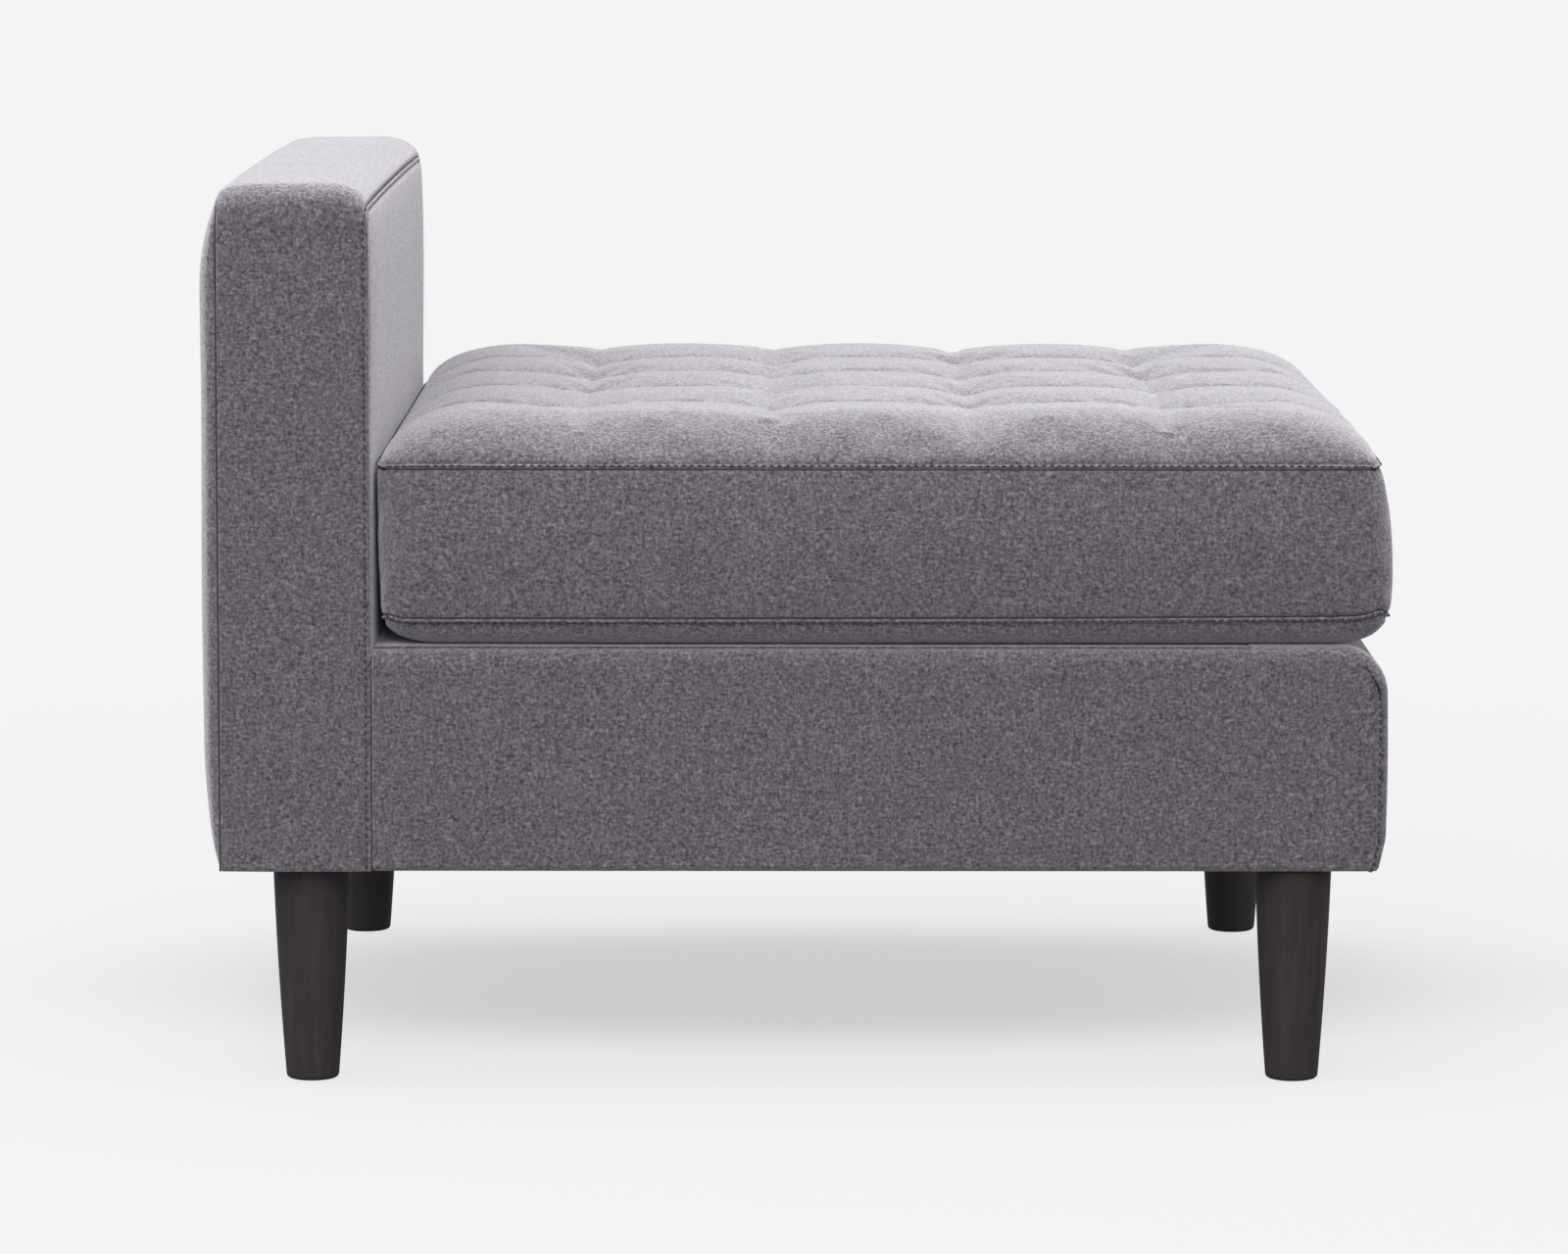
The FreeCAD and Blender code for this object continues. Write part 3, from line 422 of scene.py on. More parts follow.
cushion = {
    "half": 377 * mm,
    "front": topLow.y + 3.45 * mm,
    "back": topHigh.y,
    "corner": 18 * mm,
    "seamHigh": topLow.z + seamEdge,
    "seamLow": underHigh.z - seamEdge,
    "low": underLow.z,
    "frontBulge": 11.5 * mm,
    "sideBulge": 2.5 * mm,
    # How far the boxing stands out past the top seam, at its lower seam and half way up
    "noseLow": 7 * mm,
    "noseSwell": 4.5 * mm,
    "wideLow": 2.5 * mm,
    "wideSwell": 1.6 * mm,
    "rearLow": 3 * mm,
    # How the lower seam is lifted: all along, towards the front, and in the ears
    "lowLift": 1.8 * mm,
    "frontLift": 2.6 * mm,
    "frontReach": 200 * mm,
    "earLift": 4 * mm,
    "earReach": 13 * mm,
    "underRoll": 42 * mm,
    "underSideRoll": 27 * mm,
    "puffHigh": 35 * mm,
    "puffWave": 1.1 * mm,
    "edgeRoll": 72 * mm,
    "creaseDrop": 4.5 * mm,
    "tuftDrop": 5 * mm,
    "tuftWide": 26 * mm,
    "tuftPitch": 143 * mm,
    "tuftMiddle": -52 * mm,
    "padding": 6 * mm,
    "boxingThick": 5 * mm,
    "across": 96,
    "along": 92,
    "levels": 13,
}


def sideRun(long, bulge, count):
    # One side of the plan from the middle of one round corner to the middle of the next,
    # in its own axes: along the side, and outwards. Half an arc, a shallow bow, half an arc.
    corner = cushion["corner"]
    turn = np.linspace(math.pi / 4, 0, 12)
    startArc = np.stack([corner - corner * np.sin(turn), corner * np.cos(turn) - corner], axis=1)
    share = np.linspace(0, 1, 80)[1:-1]
    bow = np.stack([corner + share * (long - 2 * corner), bulge * (1 - (2 * share - 1) ** 2)], axis=1)
    endArc = startArc[::-1] * (-1, 1) + (long, 0)
    path = np.concatenate([startArc, bow, endArc])
    run = runLength(path)
    return readAt(warped(count) * run[-1], run, path)[:-1]


def planLoop(half, front, back, share):
    # Closed plan of the cushion from the middle of its front right corner, in order
    # front, left side, back, right side
    nose = sideRun(2 * half, cushion["frontBulge"] * share, cushion["across"])
    flank = sideRun(back - front, cushion["sideBulge"] * share, cushion["along"])
    rear = sideRun(2 * half, 0, cushion["across"])
    return np.concatenate([
        np.stack([nose[:, 0] - half, front - nose[:, 1]], axis=1),
        np.stack([half + flank[:, 1], front + flank[:, 0]], axis=1),
        np.stack([half - rear[:, 0], back + rear[:, 1]], axis=1),
        np.stack([-half - flank[:, 1], back - flank[:, 0]], axis=1),
    ])


def fourSides(loop):
    # Front, left side, back and right side of a closed loop, in the order of a grid
    closed = np.concatenate([loop, loop[:1]])
    second, third, fourth = np.cumsum([cushion[word] for word in ("across", "along", "across")])
    return (closed[:second + 1], closed[second:third + 1],
            closed[third:fourth + 1][::-1], closed[fourth:][::-1])


def loopPatch(loop):
    front, left, rear, right = fourSides(loop)
    return filled(front, rear, right, left)


def edgeRise(plan, rollX, rollY):
    # Quarter-circle roll from every side of a plan, 1 further in
    x, y = plan[..., 0], plan[..., 1]
    rise = rounded((y - y[:1]) / rollY) * rounded((y[-1:] - y) / rollY)
    return rise * rounded((x - x[:, :1]) / rollX) * rounded((x[:, -1:] - x) / rollX)


def creaseShare(place):
    # 1 on the lines that join the tufts, falling as a parabola to 0 half a pitch away
    pitch = cushion["tuftPitch"]
    outer = np.maximum(np.abs(place) - 1.5 * pitch, 0)
    inner = np.abs((place / pitch) % 1 - 0.5)
    away = np.where(outer > 0, outer / pitch, inner)
    return np.clip(1 - 2 * away, 0, 1) ** 2


def tuftDistance(x, y):
    # Distance to the nearest of the sixteen tufts
    pitch = cushion["tuftPitch"]
    nearX = (np.clip(np.round(x / pitch - 0.5), -2, 1) + 0.5) * pitch
    fromMiddle = y - cushion["tuftMiddle"]
    nearY = (np.clip(np.round(fromMiddle / pitch - 0.5), -2, 1) + 0.5) * pitch
    return x - nearX, fromMiddle - nearY


def topHeights(plan):
    # A roll from every seam, times the height of the puffs, less a dip along the lines
    # of tufts and a deeper one at each tuft
    x, y = plan[..., 0], plan[..., 1]
    lines = np.maximum(creaseShare(x), creaseShare(y - cushion["tuftMiddle"]))
    awayX, awayY = tuftDistance(x, y)
    pull = np.exp(-(awayX ** 2 + awayY ** 2) / cushion["tuftWide"] ** 2)
    drop = cushion["creaseDrop"] * lines + cushion["tuftDrop"] * pull
    wave = uneven(x, y, 11, 0.16) * cushion["puffWave"]
    return (cushion["puffHigh"] - drop + wave) * edgeRise(plan, cushion["edgeRoll"], cushion["edgeRoll"])


def cushionGrids():
    # Top, boxing and bottom as coarse grids that share their seam points
    half, front, rear = cushion["half"], cushion["front"], cushion["back"]
    low, high = cushion["seamLow"], cushion["seamHigh"]
    rows = []
    for level in np.linspace(0, 1, cushion["levels"]):
        swell = (4 * level * (1 - level)) ** 0.75
        wide = half + cushion["wideLow"] * (1 - level) + cushion["wideSwell"] * swell
        nose = front - cushion["noseLow"] * (1 - level) - cushion["noseSwell"] * swell
        x, y = planLoop(wide, nose, rear - cushion["rearLow"] * (1 - level), 0.3 + 0.7 * swell).T
        fromCorner = np.abs(np.abs(x) - half) + np.minimum(np.abs(y - front), np.abs(y - rear))
        ear = cushion["earLift"] * np.exp(-(fromCorner / cushion["earReach"]) ** 2)
        ahead = cushion["frontLift"] * np.exp(-(y - front) / cushion["frontReach"])
        lift = (ear + ahead + cushion["lowLift"]) * (1 - level) ** 3
        rows.append(np.stack([x, y, low + level * (high - low) + lift], axis=1))
    boxing = np.stack(rows)
    plan = loopPatch(boxing[-1, :, :2])
    top = np.dstack([plan, high + topHeights(plan)])
    under = loopPatch(boxing[0])
    drawn = edgeRise(under, cushion["underSideRoll"], cushion["underRoll"])
    under[..., 2] -= (under[..., 2] - cushion["low"]) * drawn
    return top, boxing, under


def simulatedCushion():
    # Sews the three grids into one closed cover, blows it up and takes them apart again
    top, boxing, under = cushionGrids()
    levels, count = boxing.shape[:2]
    along, across = top.shape[0] - 1, top.shape[1] - 1
    inside, whole = (along - 1) * (across - 1), levels * count

    def index(level, start):
        # Numbers of a panel's points: the boxing's own along its edges, new ones inside
        grid = np.zeros((along + 1, across + 1), int)
        grid[1:-1, 1:-1] = np.arange(inside).reshape(along - 1, across - 1) + start
        grid[0], grid[:, -1], grid[-1], grid[:, 0] = fourSides(np.arange(count) + level * count)
        return grid

    topIndex, underIndex = index(levels - 1, whole), index(0, whole + inside)
    points = np.zeros((whole + 2 * inside, 3))
    points[topIndex], points[underIndex] = top, under
    points[:whole] = boxing.reshape(-1, 3)
    square = gridFaces(along + 1, across + 1)
    faces = np.concatenate([
        gridFaces(levels, count, True),
        topIndex.ravel()[square],
        underIndex.ravel()[square][:, ::-1],
    ])
    held = np.zeros(len(points), bool)
    held[topIndex] = np.hypot(*tuftDistance(top[..., 0], top[..., 1])) < cloth["tuftHeld"]
    held[whole - count:whole] = True
    held[underIndex] = True
    after = blowUp("cushionCover", points, faces, held)
    for chosen, share in ((slice(0, whole), cloth["boxingShare"]), (topIndex.ravel(), cloth["topShare"])):
        after[chosen] = points[chosen] + (after[chosen] - points[chosen]) * share
    after[:, 1] = np.minimum(after[:, 1], cushion["back"])
    return after[topIndex], after[:whole].reshape(levels, count, 3), after[underIndex]


dressedSlots = {}


def dressed(thing, body, slot, *replaced, fill=None):
    # Tells the frame what a piece moves with, its finish, and what it stands for
    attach(thing, body)
    if replaced:
        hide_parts(*replaced)
    dressedSlots[thing.name] = slot
    return thing


def edgeStitches(grid, *sides):
    return [stitchLine(grid, side) for side in sides]


allEdges = ["firstRow", "lastRow", "firstColumn", "lastColumn"]


tuft = {
    "pit": 2.8 * mm,
    "pitWide": 8 * mm,
    "foldDeep": 0.5 * mm,
    "foldAway": 15 * mm,
    "foldReach": 13 * mm,
    "lineDeep": 0.6 * mm,
    "lineWide": 5 * mm,
}


def tuftDetail(grid):
    # Each tuft's stitch pulls a narrow pit, and short folds run out from it along the
    # diagonals; the lines between the tufts are a little sharper than the cloth alone
    x, y = grid[..., 0], grid[..., 1]
    awayX, awayY = tuftDistance(x, y)
    away = np.hypot(awayX, awayY)
    pit = tuft["pit"] * np.exp(-away / tuft["pitWide"])
    waves = np.cos(8 * np.arctan2(awayY, awayX) + 1.5 * uneven(x, y, 5, 0.2))
    folds = waves * np.exp(-((away - tuft["foldAway"]) / tuft["foldReach"]) ** 2)
    lines = np.exp(-(np.minimum(np.abs(awayX), np.abs(awayY)) / tuft["lineWide"]) ** 2)
    reach = 2.1 * cushion["tuftPitch"]
    between = (np.abs(y - cushion["tuftMiddle"]) < reach) & (np.abs(x) < reach)
    out = grid.copy()
    out[..., 2] += folds * tuft["foldDeep"] - pit - lines * between * tuft["lineDeep"]
    return out


def makeCushion():
    top, boxing, under = simulatedCushion()
    lines, shadeTubes = [], []
    for side, grid, fill in (
        ("Top", tuftDetail(refined(top, 3)), 0.8),
        ("Bottom", refined(under[:, ::-1], 1), 0.5),
    ):
        # Seam lines that carry the dark tubes of painted shade
        shadeTubes += [edgeLine(grid, edge) for edge in allEdges]
        fine = seamed(grid, ["folded"] * 4)
        behind = -cushion["padding"] if side == "Top" else cushion["padding"]
        panel = addPanel(f"cushion{side}Panel", fine, (0, 0, behind))
        dressed(panel, "seat_cushion", "upholstery", f"cushion_{side.lower()}_panel", fill=fill)
        lines += edgeStitches(fine, *allEdges)
    dressed(addStitches("cushionStitches", lines), "seat_cushion", "tie")
    # Dark tubes in the seams' grooves: painted shade
    dressed(addSeamShadeTubes("cushionSeamShade", shadeTubes), "seat_cushion", "tie")

    # The boxing runs round from one end of the zip panel to the other
    zipLow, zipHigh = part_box("cushion_zip_panel")
    count = boxing.shape[1]
    first = cushion["across"] + cushion["along"]
    rearX = boxing[0, first:first + cushion["across"], 0]
    spots = first + np.arange(len(rearX))
    start = np.interp(-zipLow.x, -rearX, spots)
    end = np.interp(-zipHigh.x, -rearX, spots) + count
    between = np.arange(math.ceil(start), math.floor(end), 1 / 3)
    columns = np.concatenate([[start], between[between > start], [end]])
    fine = gridAt(boxing, finePlaces(boxing.shape[0], 2), columns % count, True)
    fine = seamed(fine, ["plain", "plain", None, None])
    band = addShell("cushionBoxing", fine, cushion["boxingThick"])
    dressed(band, "seat_cushion", "upholstery", "cushion_boxing", fill=0.8)
    makeZipPanel(zipLow, zipHigh)
    print("cushion sewn")


def makeZipPanel(zipLow, zipHigh):
    # Two strips that meet over the zip: a profile of the rear edge carried along X
    low, high = cushion["seamLow"], cushion["seamHigh"]
    chainLow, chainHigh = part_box("zip_chain")
    middle = (chainLow.z + chainHigh.z) / 2
    face = cushion["back"] - 0.5 * mm
    slotFloor = chainLow.y - 2 * mm
    half = chainHigh.z - middle
    profile = pathPoints([
        (face - 4.5 * mm, low),
        (face - 1 * mm, low + 3 * mm, 2 * mm),
        (face, middle - half, 1.2 * mm),
        (slotFloor, middle - half, 0.8 * mm),
        (slotFloor, middle + half, 0.8 * mm),
        (face, middle + half, 1.2 * mm),
        (face, high - 3 * mm, 2 * mm),
        (face - 2.5 * mm, high),
    ], 0.9 * mm)
    grid = carried(profile, np.linspace(zipHigh.x, zipLow.x, 120))
    panel = addShell("cushionZipPanel", grid, 2 * mm, np.array((0, -1, 0)))
    dressed(panel, "seat_cushion", "upholstery", "cushion_zip_panel", fill=0.6)


makeCushion()


# Back: one strip over both sides and the top, with a front and a rear panel sewn to it

stripLow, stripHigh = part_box("back_boxing_strip")
rearLow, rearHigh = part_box("back_rear_panel")
facingLow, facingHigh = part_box("back_front_panel")

back = {
    "half": stripHigh.x,
    "bottom": stripLow.z,
    "seamTop": facingHigh.z - 11 * mm,
    "corner": 15 * mm,
    "rearLift": 9 * mm,
    "rearCorner": 22 * mm,
    "shoulder": 30 * mm,
    "front": stripLow.y,
    "rear": stripHigh.y,
    "frontFall": 19 * mm,
    "rearFall": 10 * mm,
    "sideCrown": 1.8 * mm,
    "topRise": 2 * mm,
    "stripThick": 6 * mm,
    "stripWave": 0.5 * mm,
    "inset": 1.5 * mm,
    "panelThick": 1.6 * mm,
    # The front face is flatter where the cushion stands against it
    "frontBulge": 4.2 * mm,
    "frontFlat": 2.9 * mm,
    "frontRoll": 60 * mm,
    "frontWave": 0.8 * mm,
    "cushionTop": 470 * mm,
    "cushionFade": 100 * mm,
    "rearBulge": rearHigh.y - stripHigh.y - 1.5 * mm,
    "rearWave": 1.2 * mm,
    "rearRoll": 70 * mm,
    "rearEnds": 36 * mm,
    "rearFoot": 12 * mm,
    "rearUp": 90 * mm,
    "steps": 196,
    "levels": 28,
    "up": 78,
    "across": 104,
}


def topRise(path):
    # The top rises a little from its ends to its middle
    level = path[..., 1] / back["seamTop"]
    return back["topRise"] * (1 - np.abs(path[..., 0] / back["half"]) ** 2.6) * eased(level * 4 - 3)


def slabEdge(half, bottom, top, corner):
    # Up one side of the slab, over its top and down the other side
    return pathPoints([(half, bottom), (half, top, corner), (-half, top, corner), (-half, bottom)], 1 * mm)


def backOutline(lift, corner):
    # The slab's outline in even steps, its top raised by lift
    edge = slabEdge(back["half"], back["bottom"], back["seamTop"] + lift, corner)
    run = runLength(edge)
    path = readAt(np.linspace(0, run[-1], back["steps"]), run, edge)
    path[:, 1] += topRise(path)
    return path


def makeBackStrip():
    # The outline of the slab carried from the higher rear seam to the front one, over a
    # round shoulder at each
    path = backOutline(0, back["corner"])
    behind = backOutline(back["rearLift"], back["rearCorner"])
    ahead = np.gradient(path, axis=0)
    ahead /= np.linalg.norm(ahead, axis=1, keepdims=True)
    outX, outZ = ahead[:, 1], -ahead[:, 0]
    share = warped(back["levels"])[:, None]
    deep = back["rear"] - back["front"]
    arch = 1 - np.abs(2 * share - 1) ** 2.4
    aside = back["sideCrown"] * arch
    over = back["frontFall"] * rounded((1 - share) * deep / back["shoulder"])
    over = over - back["rearFall"] * (1 - rounded(share * deep / back["shoulder"]))
    over = over - back["rearLift"] * (1 - share)
    crown = aside + (over - aside) * np.clip(outZ, 0, 1) ** 2
    wave = uneven(path[:, 0] + path[:, 1], share * deep, 3, 0.12) * back["stripWave"]
    bulge = crown + wave * arch
    grid = np.zeros((len(share), len(path), 3))
    grid[..., 0] = path[:, 0] * share + behind[:, 0] * (1 - share) + outX * bulge
    grid[..., 1] = back["rear"] - share * deep
    grid[..., 2] = path[:, 1] * share + behind[:, 1] * (1 - share) + outZ * bulge
    columns = np.arange(0, len(path) - 1 + 1e-9, 1 / 3)
    fine = gridAt(grid, finePlaces(len(share), 2), columns)
    # The front seam gets a dark tube of painted shade
    shadeTubes = [edgeLine(fine, "firstRow")]
    fine = seamed(fine, ["plain", "lapped", None, None])
    strip = addShell("backSideStrip", fine, back["stripThick"])
    dressed(strip, "frame", "upholstery", "back_boxing_strip", fill=0.8)
    return edgeStitches(fine, "lastRow"), shadeTubes


def backPanelPlan(bottom, lift, corner):
    # A panel within the outline, seen from behind
    half, top = back["half"] - back["inset"], back["seamTop"] + lift - back["inset"]
    corner = corner - back["inset"]
    edge = slabEdge(half, bottom, top, corner)
    plan = filledPlan(edge, top - bottom - corner + math.pi / 4 * corner)
    plan[..., 1] += topRise(plan)
    return plan


def filledPlan(edge, turn):
    # Fills a shape open at its bottom: its edge runs up, over the top and down, turns
    # the corner at the length given from either end, and is closed by a straight line
    run, up, across = runLength(edge), back["up"], back["across"]
    sides = [warped(up) * turn, turn + warped(across) * (run[-1] - 2 * turn), run[-1] - warped(up) * turn]
    first, top, last = (readAt(places, run, edge) for places in sides)
    return filled(straight(edge[0], edge[-1], across), top, first, last)


def edgeGaps(plan):
    # Distances from the nearer side, from the top and from the bottom of a plan
    x, z = plan[..., 0], plan[..., 1]
    fromSides = np.minimum(np.abs(x - plan[:, :1, 0]), np.abs(plan[:, -1:, 0] - x))
    return fromSides, plan[-1:, :, 1] - z, z - plan[:1, :, 1]


def makeBackFront():
    # Filled face that bulges forward from its seams
    plan = backPanelPlan(facingLow.z, 0, back["corner"])[:, ::-1]
    x, z = plan[..., 0], plan[..., 1]
    fromSides, fromTop = edgeGaps(plan)[:2]
    rise = rounded(fromSides / back["frontRoll"]) * rounded(fromTop / back["frontRoll"])
    above = eased((z - back["cushionTop"]) / back["cushionFade"])
    wave = uneven(x, z, 21, 0.22) * back["frontWave"]
    flat = back["frontFlat"]
    bulge = (flat + (back["frontBulge"] - flat + wave) * above) * rise
    fine = refined(np.stack([x, back["front"] - bulge, z], axis=2), 2, (False, True))
    panel = addPanel("backFrontPanel", fine, (0, back["panelThick"], 0))
    dressed(panel, "frame", "upholstery", "back_front_panel", fill=0.7)


def makeBackRear():
    # Filled rear face: it swells out over its first few centimetres from each seam and
    # falls back towards the bottom edge
    plan = backPanelPlan(rearLow.z + 1 * mm, back["rearLift"], back["rearCorner"])
    x, z = plan[..., 0], plan[..., 1]
    fromSides, fromTop, up = edgeGaps(plan)
    fall = 1 - (1 - np.clip(fromTop / back["rearRoll"], 0, 1)) ** 2.3
    ends = rounded(fromSides / back["rearEnds"]) ** 0.9
    foot = 0.62 * (1 - np.exp(-up / back["rearFoot"])) + 0.38 * eased(up / back["rearUp"])
    wave = uneven(x, z, 31, 0.26) * back["rearWave"]
    bulge = (back["rearBulge"] + wave) * fall * foot * ends
    fine = refined(np.stack([x, back["rear"] + bulge, z], axis=2), 2)
    panel = addPanel("backRearPanel", fine, (0, -back["panelThick"], 0))
    dressed(panel, "frame", "upholstery", "back_rear_panel", fill=0.7)


frameStitches, frameShadeTubes = makeBackStrip()
makeBackFront()
makeBackRear()
print("back covered")


# Base: two side panels, one band over the front, and the deck under the cushion

bandLow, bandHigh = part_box("base_front_band")

base = {
    "half": bandHigh.x,
    "front": bandLow.y + 2 * mm,
    "bottom": bandLow.z,
    "deck": bandHigh.z,
    "bandEnd": bandHigh.y,
    "deckEnd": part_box("deck_cloth")[1].y,
    "nose": 33 * mm,
    "sideNose": 45 * mm,
    "inset": 3.5 * mm,
    "hem": 24 * mm,
    "hemIn": 5 * mm,
    "hemRound": 3 * mm,
    "hemRise": 30 * mm,
    "swell": 2.2 * mm,
    "bandWave": 0.7 * mm,
    "bandThick": 1.5 * mm,
    "endRound": 4 * mm,
    "noseRound": 6 * mm,
    "deckRound": 5.5 * mm,
    # The side panel's top edge turns in under the cushion, more so behind the nose
    "turnHigh": 14 * mm,
    "turnIn": 7.6 * mm,
    "turnAfter": 60 * mm,
    "sideRoll": 18 * mm,
    "sideSwell": 0.9 * mm,
    "sideWave": 0.6 * mm,
    "sideThick": 5 * mm,
    "up": 30,
    "along": 110,
}


def makeSidePanel(name, side):
    # Flat panel with a round upper front corner, between the front band and the back
    front = base["front"] + base["inset"]
    top = base["deck"] - 1.5 * mm
    rear, bottom, nose = back["front"], base["bottom"], base["sideNose"]
    edge = pathPoints([
        (front + base["hemIn"], bottom),
        (front, bottom + base["hem"], 40 * mm),
        (front, top, nose),
        (rear, top),
    ], 1 * mm)
    run, corner = runLength(edge), np.array((rear, bottom))
    turn = top - bottom - nose + math.pi / 4 * nose
    places = [warped(base["up"]) * turn, turn + warped(base["along"]) * (run[-1] - turn)]
    nearSide, topSide = (readAt(place, run, edge) for place in places)
    low = straight(edge[0], corner, base["along"])
    plan = filled(low, topSide, nearSide, straight(corner, edge[-1], base["up"]))
    y, z = plan[..., 0], plan[..., 1]
    fromTop = plan[-1:, :, 1] - z
    gap = np.minimum(y - plan[:, :1, 0], plan[:, -1:, 0] - y)
    rise = rounded(gap / base["sideRoll"]) * rounded(fromTop / base["sideRoll"])
    rise = rise * rounded((z - bottom) / base["hemRise"])
    hem = (rounded((z - bottom) / base["hemRound"]) - 1) * base["hemRound"]
    wave = uneven(y, z, 41 + side, 0.2) * base["sideWave"]
    turnIn = (rounded(fromTop / base["turnHigh"]) - 1) * base["turnIn"]
    turnIn = turnIn * eased((y - front) / base["turnAfter"])
    out = base["half"] - 0.4 * mm + (base["sideSwell"] + wave) * rise + hem + turnIn
    near, far = ("firstColumn", "lastColumn")[::side]
    fine = refined(np.stack([side * out, y, z], axis=2)[:, ::side], 3)
    # Both seams get dark tubes of painted shade
    shadeTubes = [edgeLine(fine, near), edgeLine(fine, far)]
    fine = seamed(fine, [None, None] + ["folded", "plain"][::side])
    panel = addPanel(f"baseSidePanel{name}", fine, (-side * base["sideThick"], 0, 0))
    dressed(panel, "frame", "upholstery", f"base_side_panel_{name.lower()}", fill=0.4)
    return edgeStitches(fine, near), shadeTubes


def makeFrontBand():
    # The profile from under the front edge up and over the deck, carried across; its
    # ends turn in round the corners to the side panels' seams
    half, front, bottom, deck = base["half"], base["front"], base["bottom"], base["deck"]
    profile = pathPoints([
        (front + 30 * mm, bottom),
        (front + base["hemIn"], bottom, base["hemRound"]),
        (front, bottom + base["hem"], 50 * mm),
        (front, deck, base["nose"]),
        (base["bandEnd"], deck),
    ], 3 * mm)
    near = np.array([0, 0.25, 0.6, 1.1, 1.7, 2.4, 3.2, 4.2, 5.5, 7, 9, 11.5, 14]) * mm
    x = np.concatenate([near - half, np.linspace(-half, half, 150)[4:-4], (half - near)[::-1]])
    grid = carried(profile, x)
    z, gap = grid[..., 2], half - np.abs(grid[..., 0])
    normals = gridNormals(grid)
    upward, ahead = np.clip(normals[..., 2], 0, 1), np.clip(-normals[..., 1], 0, 1)
    radius = base["endRound"] + base["noseRound"] * upward ** 0.7 + base["deckRound"] * upward ** 14
    corner = (rounded(gap / radius) - 1) * radius
    swell = base["swell"] * np.sin(math.pi * np.clip((z - bottom) / (deck - bottom), 0, 1))
    wave = uneven(grid[..., 0], z, 51, 0.25) * base["bandWave"]
    height = corner + (swell + wave) * ahead * rounded(gap / (20 * mm))
    panel = addShell("baseFrontBand", grid + normals * height[..., None], base["bandThick"])
    dressed(panel, "frame", "upholstery", "base_front_band", fill=0.5)


def makeDeckCloth():
    # Plain cloth under the cushion, a little dented between the straps below
    y = np.linspace(base["bandEnd"], base["deckEnd"], 90)[:, None]
    edge = base["half"] - base["turnIn"] + 0.6 * mm
    x = np.linspace(-edge, edge, 110)[None]
    z = base["deck"] - 0.5 * mm + uneven(x, y, 61, 0.2) * 0.5 * mm
    grid = np.stack(np.broadcast_arrays(x, y, z), axis=2)
    dressed(addShell("deckCloth", grid, 1 * mm), "frame", "upholstery", "deck_cloth")


for name, side in (("Left", 1), ("Right", -1)):
    stitches, shadeTubes = makeSidePanel(name, side)
    frameStitches += stitches
    frameShadeTubes += shadeTubes
makeFrontBand()
makeDeckCloth()
dressed(addStitches("frameStitches", frameStitches), "frame", "tie")
# Dark tubes in the frame's seam grooves: painted shade
dressed(addSeamShadeTubes("frameSeamShade", frameShadeTubes), "frame", "tie")
print("base covered")


# Legs: turned, slightly swollen along their taper, with a rounded foot

leg = {
    "across": 344 * mm,
    "along": 360.5 * mm,
    "topRadius": 28 * mm,
    "footRadius": 19.4 * mm,
    "foot": 0.6 * mm,
    "top": base["bottom"],
    "edge": 3.6 * mm,
    "belly": 0.9 * mm,
    "sides": 64,
}


def makeLeg(name, x, y, node):
    # Radius against height: a straight taper plus a parabola, and a quarter circle at
    # the foot's edge
    edge, sides, foot, footRadius = (leg[word] for word in ("edge", "sides", "foot", "footRadius"))
    rise = np.linspace(0, 1, 40)
    radius = footRadius + (leg["topRadius"] - footRadius) * rise + leg["belly"] * 4 * rise * (1 - rise)
    z = foot + edge + rise * (leg["top"] - foot - edge)
    turn = np.linspace(0, math.pi / 2, 9)[:-1]
    radius = np.concatenate([radius[0] - edge * (1 - np.sin(turn)), radius])[:, None]
    z = np.concatenate([foot + edge * (1 - np.cos(turn)), z])[:, None]
    about = np.linspace(0, 2 * math.pi, sides, endpoint=False)
    rings = (x + radius * np.cos(about), y + radius * np.sin(about), z)
    grid = np.stack(np.broadcast_arrays(*rings), axis=2)
    last = len(z) * sides
    caps = [list(range(sides))[::-1], list(range(last - sides, last))]
    dressed(addMesh(name, grid, gridFaces(len(z), sides, True), caps), "frame", "stained_wood", node)


for sideName, side in (("Left", 1), ("Right", -1)):
    for endName, end in (("Front", -1), ("Rear", 1)):
        x, y = side * leg["across"], end * leg["along"]
        makeLeg(f"leg{endName}{sideName}", x, y, f"legs_{endName.lower()}")
print("legs turned")


# Finishes

class Wire:
    # A shader socket; arithmetic on it adds Math nodes
    def __init__(self, paint, socket):
        self.paint = paint
        self.socket = socket

    def math(self, operation, first, second):
        return self.paint.add("ShaderNodeMath", {"operation": operation}, {0: first, 1: second})

    def __add__(self, other):
        return self.math("ADD", self, other)

    def __radd__(self, other):
        return self.math("ADD", other, self)

    def __mul__(self, other):
        return self.math("MULTIPLY", self, other)


